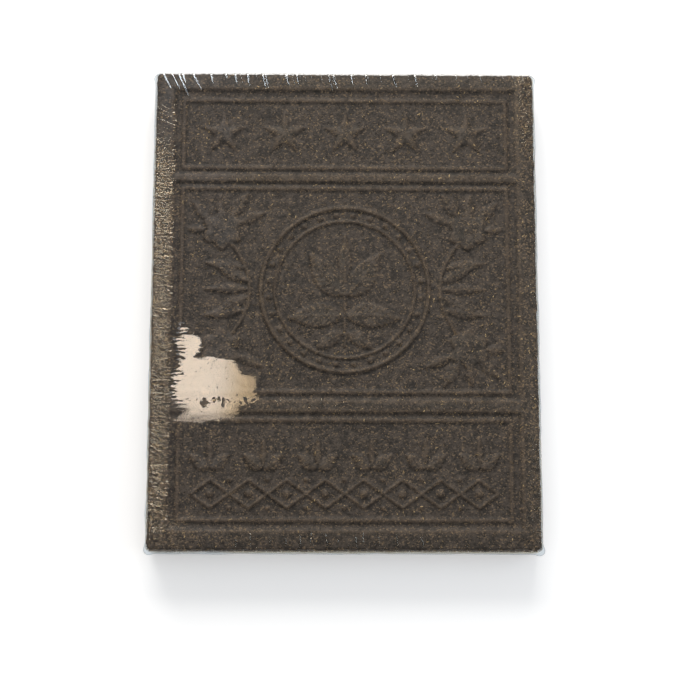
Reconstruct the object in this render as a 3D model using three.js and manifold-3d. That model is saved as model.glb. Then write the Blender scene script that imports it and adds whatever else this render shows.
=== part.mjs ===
// A brick of pressed pu erh tea, 190 x 240 x 20 mm, in its tight clear wrap.
// It lies on its back with the pressed face up: +X runs across the face, +Y up its
// design and +Z out of it. The origin is the middle of the back. Lengths are in mm.
import * as THREE from "three";
import { mergeVertices } from "three/addons/utils/BufferGeometryUtils.js";
import Module from "manifold-3d";

const wasm = await Module();
wasm.setup();

// The block
const WIDTH = 190;
const HEIGHT = 240;
const THICKNESS = 20;
const CORNER_RADIUS = 3;
const EDGE_ROUND = 1.2;

// The bed that is pressed into the face, inside a flat rim
const RIM_SIDE = 8.5;
const RIM_TOP = 8;
const RIM_BOTTOM = 9;
const BED_DEPTH = 1.2;
const BED_SLOPE = 2;
const BED_Z = THICKNESS - BED_DEPTH;

// Three fields, each inside a raised bead; each field is named by its lowest and highest Y
const FIELD_HALF_WIDTH = 79;
const STAR_FIELD = { low: 72.3, high: 104 };
const PICTURE_FIELD = { low: -41.5, high: 58 };
const BAND_FIELD = { low: -104, high: -59 };
const BEAD_WIDTH = 3.6;
const BEAD_HEIGHT = 0.75;
const BEAD_BEVEL = 1.3;

// The bars between the fields
const DIVIDERS = [
  { y: 65.1, width: 6.2 },
  { y: -50.3, width: 8.6 },
];
const DIVIDER_HEIGHT = 1.05;
const DIVIDER_BEVEL = 1.8;

// The row of stars
const STAR_COUNT = 5;
const STAR_PITCH = 30.4;
const STAR_RADIUS = 11.3;
const STAR_WAIST = 0.4;
const STAR_HEIGHT = 1.1;
const STAR_Y = 87.2;

// The round medallion in the middle field
const MEDALLION_Y = (PICTURE_FIELD.low + PICTURE_FIELD.high) / 2;
const RINGS = [
  { radius: 41.5, width: 2.4, height: 1 },
  { radius: 34.6, width: 1.6, height: 0.8 },
];
const RING_SIDES = 56;
const PEARL_COUNT = 28;
const PEARL_RADIUS = 1.7;
const PEARL_HEIGHT = 0.8;
const PEARL_CIRCLE = 37.85;

// The tea shoot in the medallion: pairs of broad leaves up a stem, and a slim bud on top
const SHOOT_STEM = { low: -29, high: 4, width: 2.2, height: 0.7 };
const SHOOT_BUD = { from: 2, length: 27, width: 7.5 };
const SHOOT_LEAVES = [
  { from: -4, angle: 44, length: 29, width: 13.5, bend: 4 },
  { from: -14, angle: 8, length: 28, width: 13, bend: -5 },
  { from: -22, angle: -20, length: 17, width: 7.5, bend: -3 },
];
const LEAF_HEIGHT = 1;
const LEAF_SKEW = 0.85;
const LEAF_STEPS = 7;

// The tea flowers in the corners round the medallion
const FLOWER_X = 61;
const FLOWER_RISE = 30;
const PETAL_COUNT = 6;
const PETAL = { length: 10.5, width: 9, blunt: 0.62 };
const FLOWER_HEART = 2.7;
const PETAL_HEIGHT = 0.95;
const FLOWER_HEART_HEIGHT = 1.05;
const FLOWER_LEAF_HEIGHT = 0.8;
const FLOWER_LEAVES = [
  { angle: 44, from: 7, length: 14.5, width: 6.4 },
  { angle: 2, from: 8, length: 10, width: 5 },
  { angle: 86, from: 7, length: 12, width: 6 },
  { angle: 124, from: 7, length: 17, width: 6.6 },
  { angle: 157, from: 8, length: 16, width: 5.6 },
];

// The vine on either side, which bends past the medallion from flower to flower, with a
// bud at its middle and leaves in pairs above and below it
const VINE = { near: 47, far: 57, rise: 24, width: 1.8, height: 0.8, steps: 12 };
const VINE_LEAVES = [
  { rise: 3.5, tilt: 27, length: 21, width: 6.6 },
  { rise: 10.5, tilt: 8, length: 22, width: 6.2 },
];
const VINE_BUD = { length: 24, width: 5.6 };

// The lower field: a row of small tea shoots over a band of diamonds
const SPRIG_COUNT = 6;
const SPRIG_PITCH = 26.2;
const SPRIG_Y = -81;
const SPRIG_BUD = { length: 16.5, width: 4.4 };
const SPRIG_LEAF = { angle: 26, length: 12.5, width: 7, bend: 2.4 };
const SPRIG_LEAF_HEIGHT = 0.9;
const DIAMOND_COUNT = 8;
const DIAMOND_PITCH = 18.6;
const DIAMOND_LOW = -99.8;
const DIAMOND_HIGH = -86.2;
const DIAMOND_LINE = 1.9;
const DIAMOND_RAISE = 0.85;
const DIAMOND_KNOB = 2.3;
const DIAMOND_PEARL = 1.3;

// Relief starts a little under the bed, so that the solids join
const ROOT = 0.6;

// The flat top of a line or a knob, as a share of its foot
const CREST = 0.45;
const DEGREE = Math.PI / 180;

// A closed geometry as a solid.
function solid(geometry) {
  const bare = new THREE.BufferGeometry();
  const source = geometry.index ? geometry.toNonIndexed() : geometry;
  bare.setAttribute("position", source.getAttribute("position"));
  const merged = mergeVertices(bare, 1e-4);
  return new wasm.Manifold(
    new wasm.Mesh({
      numProp: 3,
      vertProperties: merged.attributes.position.array,
      triVerts: new Uint32Array(merged.index.array),
    }),
  );
}

// A rectangle with round corners, as an outline.
function roundedRectangle(x0, y0, x1, y1, radius) {
  const outline = new THREE.Shape();
  outline.moveTo(x0 + radius, y0);
  outline.lineTo(x1 - radius, y0);
  outline.absarc(x1 - radius, y0 + radius, radius, -Math.PI / 2, 0);
  outline.lineTo(x1, y1 - radius);
  outline.absarc(x1 - radius, y1 - radius, radius, 0, Math.PI / 2);
  outline.lineTo(x0 + radius, y1);
  outline.absarc(x0 + radius, y1 - radius, radius, Math.PI / 2, Math.PI);
  outline.lineTo(x0, y0 + radius);
  outline.absarc(x0 + radius, y0 + radius, radius, Math.PI, 1.5 * Math.PI);
  return outline;
}

// A rectangle with sharp corners, as an outline or a hole.
function rectangle(x0, y0, x1, y1, Outline = THREE.Shape) {
  const outline = new Outline();
  outline.moveTo(x0, y0);
  outline.lineTo(x1, y0);
  outline.lineTo(x1, y1);
  outline.lineTo(x0, y1);
  outline.lineTo(x0, y0);
  return outline;
}

// The block: a slab with round corners and rounded edges.
function block() {
  const x = WIDTH / 2 - EDGE_ROUND;
  const y = HEIGHT / 2 - EDGE_ROUND;
  const slab = new THREE.ExtrudeGeometry(
    roundedRectangle(-x, -y, x, y, CORNER_RADIUS - EDGE_ROUND),
    {
      depth: THICKNESS - 2 * EDGE_ROUND,
      bevelThickness: EDGE_ROUND,
      bevelSize: EDGE_ROUND,
      bevelSegments: 3,
      curveSegments: 4,
    },
  );
  slab.translate(0, 0, EDGE_ROUND);
  return solid(slab);
}

// The pressed bed, as the solid to take away: its sides slope in towards its floor.
function bed() {
  const x = WIDTH / 2 - RIM_SIDE - BED_SLOPE;
  const low = -HEIGHT / 2 + RIM_BOTTOM + BED_SLOPE;
  const high = HEIGHT / 2 - RIM_TOP - BED_SLOPE;
  const reach = BED_SLOPE * 2;
  const rise = BED_DEPTH * 2;
  const hollow = new THREE.ExtrudeGeometry(rectangle(-x - reach, low - reach, x + reach, high + reach), {
    depth: rise,
    bevelThickness: rise,
    bevelSize: reach,
    bevelOffset: -reach,
    bevelSegments: 1,
  });
  hollow.translate(0, 0, BED_Z + rise);
  return solid(hollow);
}

// A raised form with bevelled sides, standing on the bed. The outline is its foot.
function raisedGeometry(foot, height, bevel) {
  const form = new THREE.ExtrudeGeometry(foot, {
    depth: ROOT,
    bevelThickness: height,
    bevelSize: bevel,
    bevelOffset: -bevel,
    bevelSegments: 1,
  });
  form.translate(0, 0, BED_Z - ROOT);
  return form;
}

function raised(foot, height, bevel) {
  return solid(raisedGeometry(foot, height, bevel));
}

// The bead round a field: a rectangular ring.
function bead(field) {
  const foot = rectangle(
    -FIELD_HALF_WIDTH - BEAD_WIDTH,
    field.low - BEAD_WIDTH,
    FIELD_HALF_WIDTH + BEAD_WIDTH,
    field.high + BEAD_WIDTH,
  );
  foot.holes.push(rectangle(-FIELD_HALF_WIDTH, field.low, FIELD_HALF_WIDTH, field.high, THREE.Path));
  return raised(foot, BEAD_HEIGHT, BEAD_BEVEL);
}

// A bar between two fields. Its ends run into the rim.
function divider({ y, width }) {
  const x = WIDTH / 2 - RIM_SIDE + DIVIDER_BEVEL;
  return raised(rectangle(-x, y - width / 2, x, y + width / 2), DIVIDER_HEIGHT, DIVIDER_BEVEL);
}

// A five-pointed star, as a ten-sided cone with every second corner drawn in. The cone
// starts below the bed, and has its full radius at the bed.
function star(x) {
  const foot = (STAR_RADIUS * (STAR_HEIGHT + ROOT)) / STAR_HEIGHT;
  const cone = new THREE.ConeGeometry(foot, STAR_HEIGHT + ROOT, 10, 1);
  const position = cone.getAttribute("position");
  for (let i = 0; i < position.count; i += 1) {
    const angle = Math.atan2(position.getX(i), position.getZ(i));
    const corner = Math.round(angle / (36 * DEGREE));
    const drawn = Math.abs(corner % 2) === 1 ? STAR_WAIST : 1;
    position.setX(i, position.getX(i) * drawn);
    position.setZ(i, position.getZ(i) * drawn);
  }
  cone.rotateX(Math.PI / 2);
  cone.rotateZ(Math.PI);
  cone.translate(x, STAR_Y, BED_Z + (STAR_HEIGHT - ROOT) / 2);
  return solid(cone);
}

function stars() {
  const first = (-(STAR_COUNT - 1) / 2) * STAR_PITCH;
  return Array.from({ length: STAR_COUNT }, (_, i) => star(first + i * STAR_PITCH));
}

// A leaf from (x, y), pointing along angle in degrees, with a ridge along its middle. It is
// bent sideways by `bend` at its tip. `blunt` under 1 rounds its ends, as on a petal.
function leaf(x, y, angle, { length, width, bend = 0, blunt = 1.15 }, height = LEAF_HEIGHT) {
  const profile = Array.from({ length: LEAF_STEPS + 1 }, (_, i) => {
    const along = i / LEAF_STEPS;
    const half = Math.sin(Math.PI * along ** LEAF_SKEW) ** blunt;
    return new THREE.Vector2(i === 0 || i === LEAF_STEPS ? 0 : half, along);
  });
  const blade = new THREE.LatheGeometry(profile, 4);
  blade.scale(width / 2, length, height);
  const position = blade.getAttribute("position");
  for (let i = 0; i < position.count; i += 1) {
    const along = position.getY(i) / length;
    position.setX(i, position.getX(i) + bend * along * along);
  }
  blade.rotateZ((angle - 90) * DEGREE);
  blade.translate(x, y, BED_Z);
  return solid(blade);
}

// A raised line along points in the face, with a flat top and sloping sides.
function ridge(points, width, height) {
  const section = new THREE.Shape();
  const half = width / 2;
  section.moveTo(ROOT, -half);
  section.lineTo(ROOT, half);
  section.lineTo(0, half);
  section.lineTo(-height, half * CREST);
  section.lineTo(-height, -half * CREST);
  section.lineTo(0, -half);
  const path = new THREE.CatmullRomCurve3(points.map(([x, y]) => new THREE.Vector3(x, y, BED_Z)));
  const line = new THREE.ExtrudeGeometry(section, {
    steps: points.length - 1,
    extrudePath: path,
  });
  return solid(line);
}

// A round boss: a low many-sided dome, flat on top.
function boss(x, y, radius, height, sides = 8) {
  const dome = new THREE.CylinderGeometry(radius * CREST, radius, height, sides);
  dome.rotateX(Math.PI / 2);
  dome.translate(x, y, BED_Z + height / 2);
  const root = new THREE.CylinderGeometry(radius, radius, ROOT, sides);
  root.rotateX(Math.PI / 2);
  root.translate(x, y, BED_Z - ROOT / 2);
  return solid(dome).add(solid(root));
}

// The medallion's two rings, each turned from a low rounded section.
function rings() {
  return RINGS.map(({ radius, width, height }) => {
    const half = width / 2;
    const profile = [
      [radius - half, -ROOT],
      [radius + half, -ROOT],
      [radius + half, 0],
      [radius + half * CREST, height],
      [radius - half * CREST, height],
      [radius - half, 0],
      [radius - half, -ROOT],
    ].map(([r, z]) => new THREE.Vector2(r, z));
    const ring = new THREE.LatheGeometry(profile, RING_SIDES);
    ring.rotateX(Math.PI / 2);
    ring.translate(0, MEDALLION_Y, BED_Z);
    return solid(ring);
  });
}

function pearls() {
  return Array.from({ length: PEARL_COUNT }, (_, i) => {
    const angle = ((i + 0.5) / PEARL_COUNT) * 2 * Math.PI;
    const x = PEARL_CIRCLE * Math.cos(angle);
    const y = MEDALLION_Y + PEARL_CIRCLE * Math.sin(angle);
    return boss(x, y, PEARL_RADIUS, PEARL_HEIGHT, 6);
  });
}

// The tea shoot in the medallion.
function shoot() {
  const stem = ridge(
    [
      [0, MEDALLION_Y + SHOOT_STEM.low],
      [0, MEDALLION_Y + SHOOT_STEM.high],
    ],
    SHOOT_STEM.width,
    SHOOT_STEM.height,
  );
  const bud = leaf(0, MEDALLION_Y + SHOOT_BUD.from, 90, SHOOT_BUD);
  const pairs = SHOOT_LEAVES.flatMap((one) => [
    leaf(0, MEDALLION_Y + one.from, one.angle, { ...one, bend: -one.bend }),
    leaf(0, MEDALLION_Y + one.from, 180 - one.angle, one),
  ]);
  return [stem, bud, ...pairs];
}

// A tea flower with its leaves, in the corner of the middle field that lies across and up
// from the medallion. across and up are 1 or -1.
function flower(across, up) {
  const x = across * FLOWER_X;
  const y = MEDALLION_Y + up * FLOWER_RISE;
  const facing = (angle) => [across * Math.cos(angle * DEGREE), up * Math.sin(angle * DEGREE)];
  const blade = (one) => {
    const [cos, sin] = facing(one.angle);
    const angle = Math.atan2(sin, cos) / DEGREE;
    return leaf(x + one.from * cos, y + one.from * sin, angle, one, FLOWER_LEAF_HEIGHT);
  };
  const petals = Array.from({ length: PETAL_COUNT }, (_, i) =>
    leaf(x, y, ((i + 0.5) / PETAL_COUNT) * 360, PETAL, PETAL_HEIGHT),
  );
  return [...FLOWER_LEAVES.map(blade), ...petals, boss(x, y, FLOWER_HEART, FLOWER_HEART_HEIGHT)];
}

// The vine of one side, with its leaves and bud: a parabola that is nearest the medallion
// at its middle.
function vine(across) {
  const at = (rise) => [
    across * (VINE.near + (VINE.far - VINE.near) * (rise / VINE.rise) ** 2),
    MEDALLION_Y + rise,
  ];
  const points = Array.from({ length: VINE.steps + 1 }, (_, i) =>
    at(VINE.rise * ((2 * i) / VINE.steps - 1)),
  );
  const outward = (angle) => (across > 0 ? angle : 180 - angle);
  const leaves = VINE_LEAVES.flatMap((one) =>
    [-1, 1].map((up) => leaf(...at(up * one.rise), outward(up * one.tilt), one, VINE.height)),
  );
  return [
    ridge(points, VINE.width, VINE.height),
    leaf(...at(0), outward(0), VINE_BUD, VINE.height),
    ...leaves,
  ];
}

function flowers() {
  return [-1, 1].flatMap((across) => [...vine(across), ...flower(across, -1), ...flower(across, 1)]);
}

// The row of small tea shoots: a slim bud between two broad leaves.
function sprigs() {
  const { angle, bend } = SPRIG_LEAF;
  const first = (-(SPRIG_COUNT - 1) / 2) * SPRIG_PITCH;
  return Array.from({ length: SPRIG_COUNT }, (_, i) => first + i * SPRIG_PITCH).flatMap((x) => [
    leaf(x, SPRIG_Y, 90, SPRIG_BUD, SPRIG_LEAF_HEIGHT),
    leaf(x, SPRIG_Y, angle, { ...SPRIG_LEAF, bend: -bend }, SPRIG_LEAF_HEIGHT),
    leaf(x, SPRIG_Y, 180 - angle, SPRIG_LEAF, SPRIG_LEAF_HEIGHT),
  ]);
}

// A straight bar between two points, with square ends and bevelled sides.
function bar([x0, y0], [x1, y1]) {
  const half = DIAMOND_LINE / 2;
  const long = Math.hypot(x1 - x0, y1 - y0) / 2 + half;
  const piece = raisedGeometry(rectangle(-long, -half, long, half), DIAMOND_RAISE, half * (1 - CREST));
  piece.rotateZ(Math.atan2(y1 - y0, x1 - x0));
  piece.translate((x0 + x1) / 2, (y0 + y1) / 2, 0);
  return solid(piece);
}

// The band of diamonds: two zigzag lines that cross, a knob in each diamond and a pearl
// in each gap between two of them.
function diamonds() {
  const middle = (DIAMOND_LOW + DIAMOND_HIGH) / 2;
  const left = (-DIAMOND_COUNT / 2) * DIAMOND_PITCH;
  return Array.from({ length: DIAMOND_COUNT }, (_, i) => left + (i + 0.5) * DIAMOND_PITCH).flatMap(
    (x) => {
      const top = [x, DIAMOND_HIGH];
      const bottom = [x, DIAMOND_LOW];
      const sides = [-1, 1].map((side) => [x + (side * DIAMOND_PITCH) / 2, middle]);
      const gaps = x + DIAMOND_PITCH / 2 < -left - 1 ? [DIAMOND_LOW, DIAMOND_HIGH] : [];
      return [
        ...sides.flatMap((side) => [bar(side, top), bar(side, bottom)]),
        boss(x, middle, DIAMOND_KNOB, DIAMOND_RAISE),
        ...gaps.map((y) => boss(x + DIAMOND_PITCH / 2, y, DIAMOND_PEARL, DIAMOND_RAISE, 6)),
      ];
    },
  );
}

// The whole brick, as one solid.
function teaBrick() {
  const relief = [
    ...[STAR_FIELD, PICTURE_FIELD, BAND_FIELD].map(bead),
    ...DIVIDERS.map(divider),
    ...stars(),
    ...rings(),
    ...pearls(),
    ...shoot(),
    ...flowers(),
    ...sprigs(),
    ...diamonds(),
  ];
  const base = block().subtract(bed());
  return wasm.Manifold.union([base, ...relief]);
}

// A solid as a geometry, with flat faces.
function geometryOf(made) {
  const { vertProperties, triVerts } = made.getMesh();
  const geometry = new THREE.BufferGeometry();
  geometry.setAttribute("position", new THREE.BufferAttribute(vertProperties, 3));
  geometry.setIndex(new THREE.BufferAttribute(triVerts, 1));
  geometry.computeVertexNormals();
  return geometry;
}

const pressedTea = new THREE.MeshStandardMaterial({
  color: 0x443c33,
  roughness: 0.45,
  metalness: 0,
});

const brick = new THREE.Mesh(geometryOf(teaBrick()), pressedTea);
brick.name = "tea_brick";

const group = new THREE.Group();
group.add(brick);

export default group;
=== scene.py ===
"""The looks of a brick of pressed pu erh tea in its tight clear film.

The brick lies on its back with the pressed face up: +X runs across the face, +Y up the
design and +Z out of it. Sizes are in millimetres and become metres where a mesh is made.
"""

from __future__ import annotations

import logging
import math
from abc import ABC, abstractmethod
from dataclasses import dataclass, field
from enum import Enum

import bpy
import numpy as np
from mathutils import Matrix, Vector

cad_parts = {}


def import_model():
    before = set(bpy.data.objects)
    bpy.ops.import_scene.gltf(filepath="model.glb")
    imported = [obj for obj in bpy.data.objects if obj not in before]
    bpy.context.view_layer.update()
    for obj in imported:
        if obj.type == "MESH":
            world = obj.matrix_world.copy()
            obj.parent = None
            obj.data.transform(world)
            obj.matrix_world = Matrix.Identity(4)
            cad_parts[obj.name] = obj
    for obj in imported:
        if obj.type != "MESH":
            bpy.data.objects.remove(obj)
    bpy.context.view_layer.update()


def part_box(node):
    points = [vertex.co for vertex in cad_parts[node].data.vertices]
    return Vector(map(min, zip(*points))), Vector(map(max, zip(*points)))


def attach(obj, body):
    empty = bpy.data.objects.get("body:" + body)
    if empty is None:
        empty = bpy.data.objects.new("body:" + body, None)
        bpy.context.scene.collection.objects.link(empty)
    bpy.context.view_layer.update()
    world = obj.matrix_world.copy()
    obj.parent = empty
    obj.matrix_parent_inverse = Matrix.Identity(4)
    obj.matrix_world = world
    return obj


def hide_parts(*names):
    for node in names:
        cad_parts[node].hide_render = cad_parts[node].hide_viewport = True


MM = 0.001
NODE = "tea_brick"
BODY = "root"
LOG = logging.getLogger("tea_brick")
Array = np.ndarray
Socket = bpy.types.NodeSocket
Pair = tuple[float, float]
Colour = tuple[float, float, float, float]


class Side(Enum):
    """The four sides of the brick, in the order in which a ring runs round it."""

    BOTTOM = 0
    RIGHT = 1
    TOP = 2
    LEFT = 3


def smooth(value: Array) -> Array:
    """A smooth step: 0 below 0, 1 above 1, and 3 v^2 - 2 v^3 between them.

    Args:
        value: Any numbers.

    Returns:
        The steps, from 0 to 1.
    """
    held = np.clip(value, 0.0, 1.0)
    return held * held * (3.0 - 2.0 * held)


def rim_fall(inset: Array, start: float = 10.5, fall: float = 0.8) -> Array:
    """How far the rim drops towards its edge: fall times the share of the way, to the power 1.5.

    Args:
        inset: Distance in from the edge, in mm.
        start: Distance at which the fall starts.
        fall: How far it drops at the edge.

    Returns:
        Depths, in mm.
    """
    return fall * np.clip((start - inset) / start, 0.0, 1.0) ** 1.5


@dataclass(frozen=True)
class Noise:
    """Smooth random noise: seeded values on a square lattice, blended between its points."""

    seed: int
    cells: int = 256

    def at(self, x: Array, y: Array) -> Array:
        """Noise at points given in lattice cells.

        Args:
            x: Places across, in cells.
            y: Places up, in cells.

        Returns:
            Values from -1 to 1.
        """
        lattice = np.random.default_rng(self.seed).uniform(-1.0, 1.0, (self.cells, self.cells))
        column = np.floor(x).astype(int)
        row = np.floor(y).astype(int)
        across = smooth(x - column)
        up = smooth(y - row)
        left, right = column % self.cells, (column + 1) % self.cells
        low, high = row % self.cells, (row + 1) % self.cells
        under = lattice[low, left] * (1 - across) + lattice[low, right] * across
        over = lattice[high, left] * (1 - across) + lattice[high, right] * across
        return under * (1 - up) + over * up

    def layers(self, x: Array, y: Array, size: float, count: int = 3) -> Array:
        """Noise in layers, each half as large and 0.55 as strong as the one before.

        Args:
            x: Places across, in mm.
            y: Places up, in mm.
            size: Size of the largest lumps, in mm.
            count: Number of layers.

        Returns:
            Values from about -1 to 1.
        """
        total = np.zeros(np.shape(x))
        for layer in range(count):
            scale = 2.0**layer / size
            total = total + 0.55**layer * self.at(x * scale + 17.3 * layer, y * scale - 9.1 * layer)
        return total


class Form(ABC):
    """A raised form of the pressed design, near a middle and within a reach of it, in mm."""

    @property
    @abstractmethod
    def near(self) -> tuple[float, float, float, float]:
        """Middle x and y, and how far the form reaches across and up from there."""

    @abstractmethod
    def rise(self, x: Array, y: Array) -> Array:
        """Height of the form above the bed at points of the face, in mm."""


@dataclass(frozen=True)
class Bead(Form):
    """The raised line round a field: a rounded ridge along a rectangle."""

    half: float
    low: float
    high: float
    width: float = 3.6
    height: float = 0.72

    @property
    def near(self) -> tuple[float, float, float, float]:
        """The rectangle with the bead's own width round it."""
        reach = (self.high - self.low) / 2 + self.width
        return 0.0, (self.high + self.low) / 2, self.half + self.width, reach

    def rise(self, x: Array, y: Array) -> Array:
        """A smooth ridge over the distance to the rectangle that runs mid bead."""
        middle = (self.high + self.low) / 2
        across = np.abs(x) - self.half - self.width / 2
        up = np.abs(y - middle) - (self.high - self.low) / 2 - self.width / 2
        inside = np.minimum(np.maximum(across, up), 0.0)
        outside = np.hypot(np.maximum(across, 0.0), np.maximum(up, 0.0))
        away = np.abs(inside + outside) / (self.width / 2)
        return self.height * smooth((1.0 - away) / 0.72)


@dataclass(frozen=True)
class Bar(Form):
    """A straight ridge between two points, with a flat top and soft sides."""

    start: Pair
    stop: Pair
    width: float
    height: float
    bevel: float

    @property
    def near(self) -> tuple[float, float, float, float]:
        """The box round both ends."""
        (x0, y0), (x1, y1) = self.start, self.stop
        half = self.width / 2
        return (x0 + x1) / 2, (y0 + y1) / 2, abs(x1 - x0) / 2 + half, abs(y1 - y0) / 2 + half

    def rise(self, x: Array, y: Array) -> Array:
        """A smooth step over the distance in from the outline of a stroke with round ends."""
        (x0, y0), (x1, y1) = self.start, self.stop
        length = math.hypot(x1 - x0, y1 - y0)
        along = ((x - x0) * (x1 - x0) + (y - y0) * (y1 - y0)) / length
        held = np.clip(along, 0.0, length) / length
        away = np.hypot(x - x0 - held * (x1 - x0), y - y0 - held * (y1 - y0))
        return self.height * smooth((self.width / 2 - away) / self.bevel)


@dataclass(frozen=True)
class Star(Form):
    """A five-pointed star with a ridge to each point and a valley between them."""

    x: float
    y: float
    radius: float = 12.4
    waist: float = 0.4
    height: float = 1.45

    @property
    def near(self) -> tuple[float, float, float, float]:
        """The circle through the points."""
        return self.x, self.y, self.radius, self.radius

    def rise(self, x: Array, y: Array) -> Array:
        """A ten-sided cone: the share of the way in from the outline, times the height.

        The outline is straight from a point, at the radius, to a corner, at waist times
        the radius, 36 degrees further round.
        """
        across, up = x - self.x, y - self.y
        turn = np.abs((np.arctan2(across, up) + math.pi / 5) % (2 * math.pi / 5) - math.pi / 5)
        distance = np.hypot(across, up)
        tip = np.array([0.0, self.radius])
        inner = self.radius * self.waist
        corner = np.array([inner * math.sin(math.pi / 5), inner * math.cos(math.pi / 5)])
        normal = np.array([tip[1] - corner[1], corner[0]])
        edge = float(normal @ tip)
        reach = (normal[0] * np.sin(turn) + normal[1] * np.cos(turn)) * distance / edge
        inside = np.clip(1.0 - reach, 0.0, 1.0)
        return self.height * inside**0.5


@dataclass(frozen=True)
class Ring(Form):
    """A round ridge about a middle."""

    x: float
    y: float
    radius: float
    width: float
    height: float

    @property
    def near(self) -> tuple[float, float, float, float]:
        """The ring's outer circle."""
        reach = self.radius + self.width
        return self.x, self.y, reach, reach

    def rise(self, x: Array, y: Array) -> Array:
        """A smooth ridge over the distance from the circle."""
        away = np.abs(np.hypot(x - self.x, y - self.y) - self.radius) / (self.width / 2)
        return self.height * smooth((1.15 - away) / 0.8)


@dataclass(frozen=True)
class Knob(Form):
    """A round boss: a low dome."""

    x: float
    y: float
    radius: float
    height: float

    @property
    def near(self) -> tuple[float, float, float, float]:
        """The boss's own circle."""
        return self.x, self.y, self.radius * 1.2, self.radius * 1.2

    def rise(self, x: Array, y: Array) -> Array:
        """A smooth step over the distance in from the circle."""
        away = np.hypot(x - self.x, y - self.y) / self.radius
        return self.height * smooth((1.1 - away) / 0.75)


@dataclass(frozen=True)
class Leaf(Form):
    """A leaf, bud or petal: pointed or blunt, with a midrib and side veins."""

    x: float
    y: float
    angle: float
    length: float
    width: float
    bend: float = 0.0
    blunt: float = 1.0
    height: float = 1.0
    veins: int = 0

    @property
    def near(self) -> tuple[float, float, float, float]:
        """A square round the middle of the leaf."""
        turn = math.radians(self.angle)
        half = self.length / 2
        reach = half + self.width / 2 + abs(self.bend)
        return self.x + half * math.cos(turn), self.y + half * math.sin(turn), reach, reach

    def rise(self, x: Array, y: Array) -> Array:
        """Height over the leaf.

        The half width at a share t along the leaf is sin(pi t^0.85) to the power blunt,
        times half the width, and the midline moves sideways by bend t^2. The blade rises
        steeply at its edge and swells to the middle, with a rib on the midline and veins
        slanted off it.
        """
        turn = math.radians(self.angle)
        cos, sin = math.cos(turn), math.sin(turn)
        along = ((x - self.x) * cos + (y - self.y) * sin) / self.length
        side = (x - self.x) * sin - (y - self.y) * cos - self.bend * along * np.abs(along)
        held = np.clip(along, 0.0, 1.0)
        half = self.width / 2 * np.sin(math.pi * held**0.85) ** self.blunt + 0.2
        share = np.abs(side) / half
        ends = smooth(along / 0.05) * smooth((1.0 - along) / 0.05)
        blade = smooth((half - np.abs(side)) / 1.15) * ends
        swell = np.clip(1.0 - share * share, 0.0, 1.0)
        if not self.veins:
            return self.height * blade * (0.7 + 0.3 * swell)
        rib = np.exp(-((side / 0.6) ** 2))
        vein = np.cos(2 * math.pi * self.veins * (along - 0.2 * share)) * np.clip(2.2 * share, 0.0, 1.0)
        return self.height * blade * (0.62 + 0.16 * swell + 0.24 * rib + 0.16 * vein)


@dataclass(frozen=True)
class Vine(Form):
    """A curved line that is nearest the medallion at its middle: a parabola in y."""

    across: int
    y: float
    close: float = 47.0
    far: float = 57.0
    span: float = 24.0
    width: float = 2.0
    height: float = 0.9

    @property
    def near(self) -> tuple[float, float, float, float]:
        """The box round the parabola."""
        middle = self.across * (self.close + self.far) / 2
        return middle, self.y, (self.far - self.close) / 2 + self.width, self.span + self.width

    def rise(self, x: Array, y: Array) -> Array:
        """A smooth ridge over the distance across from x = close + (far - close) (y / span)^2."""
        up = y - self.y
        line = self.close + (self.far - self.close) * (up / self.span) ** 2
        slope = 2 * (self.far - self.close) * up / self.span**2
        away = np.abs(self.across * x - line) / np.hypot(1.0, slope) / (self.width / 2)
        ends = smooth((self.span + self.width / 2 - np.abs(up)) / self.width)
        return self.height * smooth((1.15 - away) / 0.8) * ends


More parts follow.
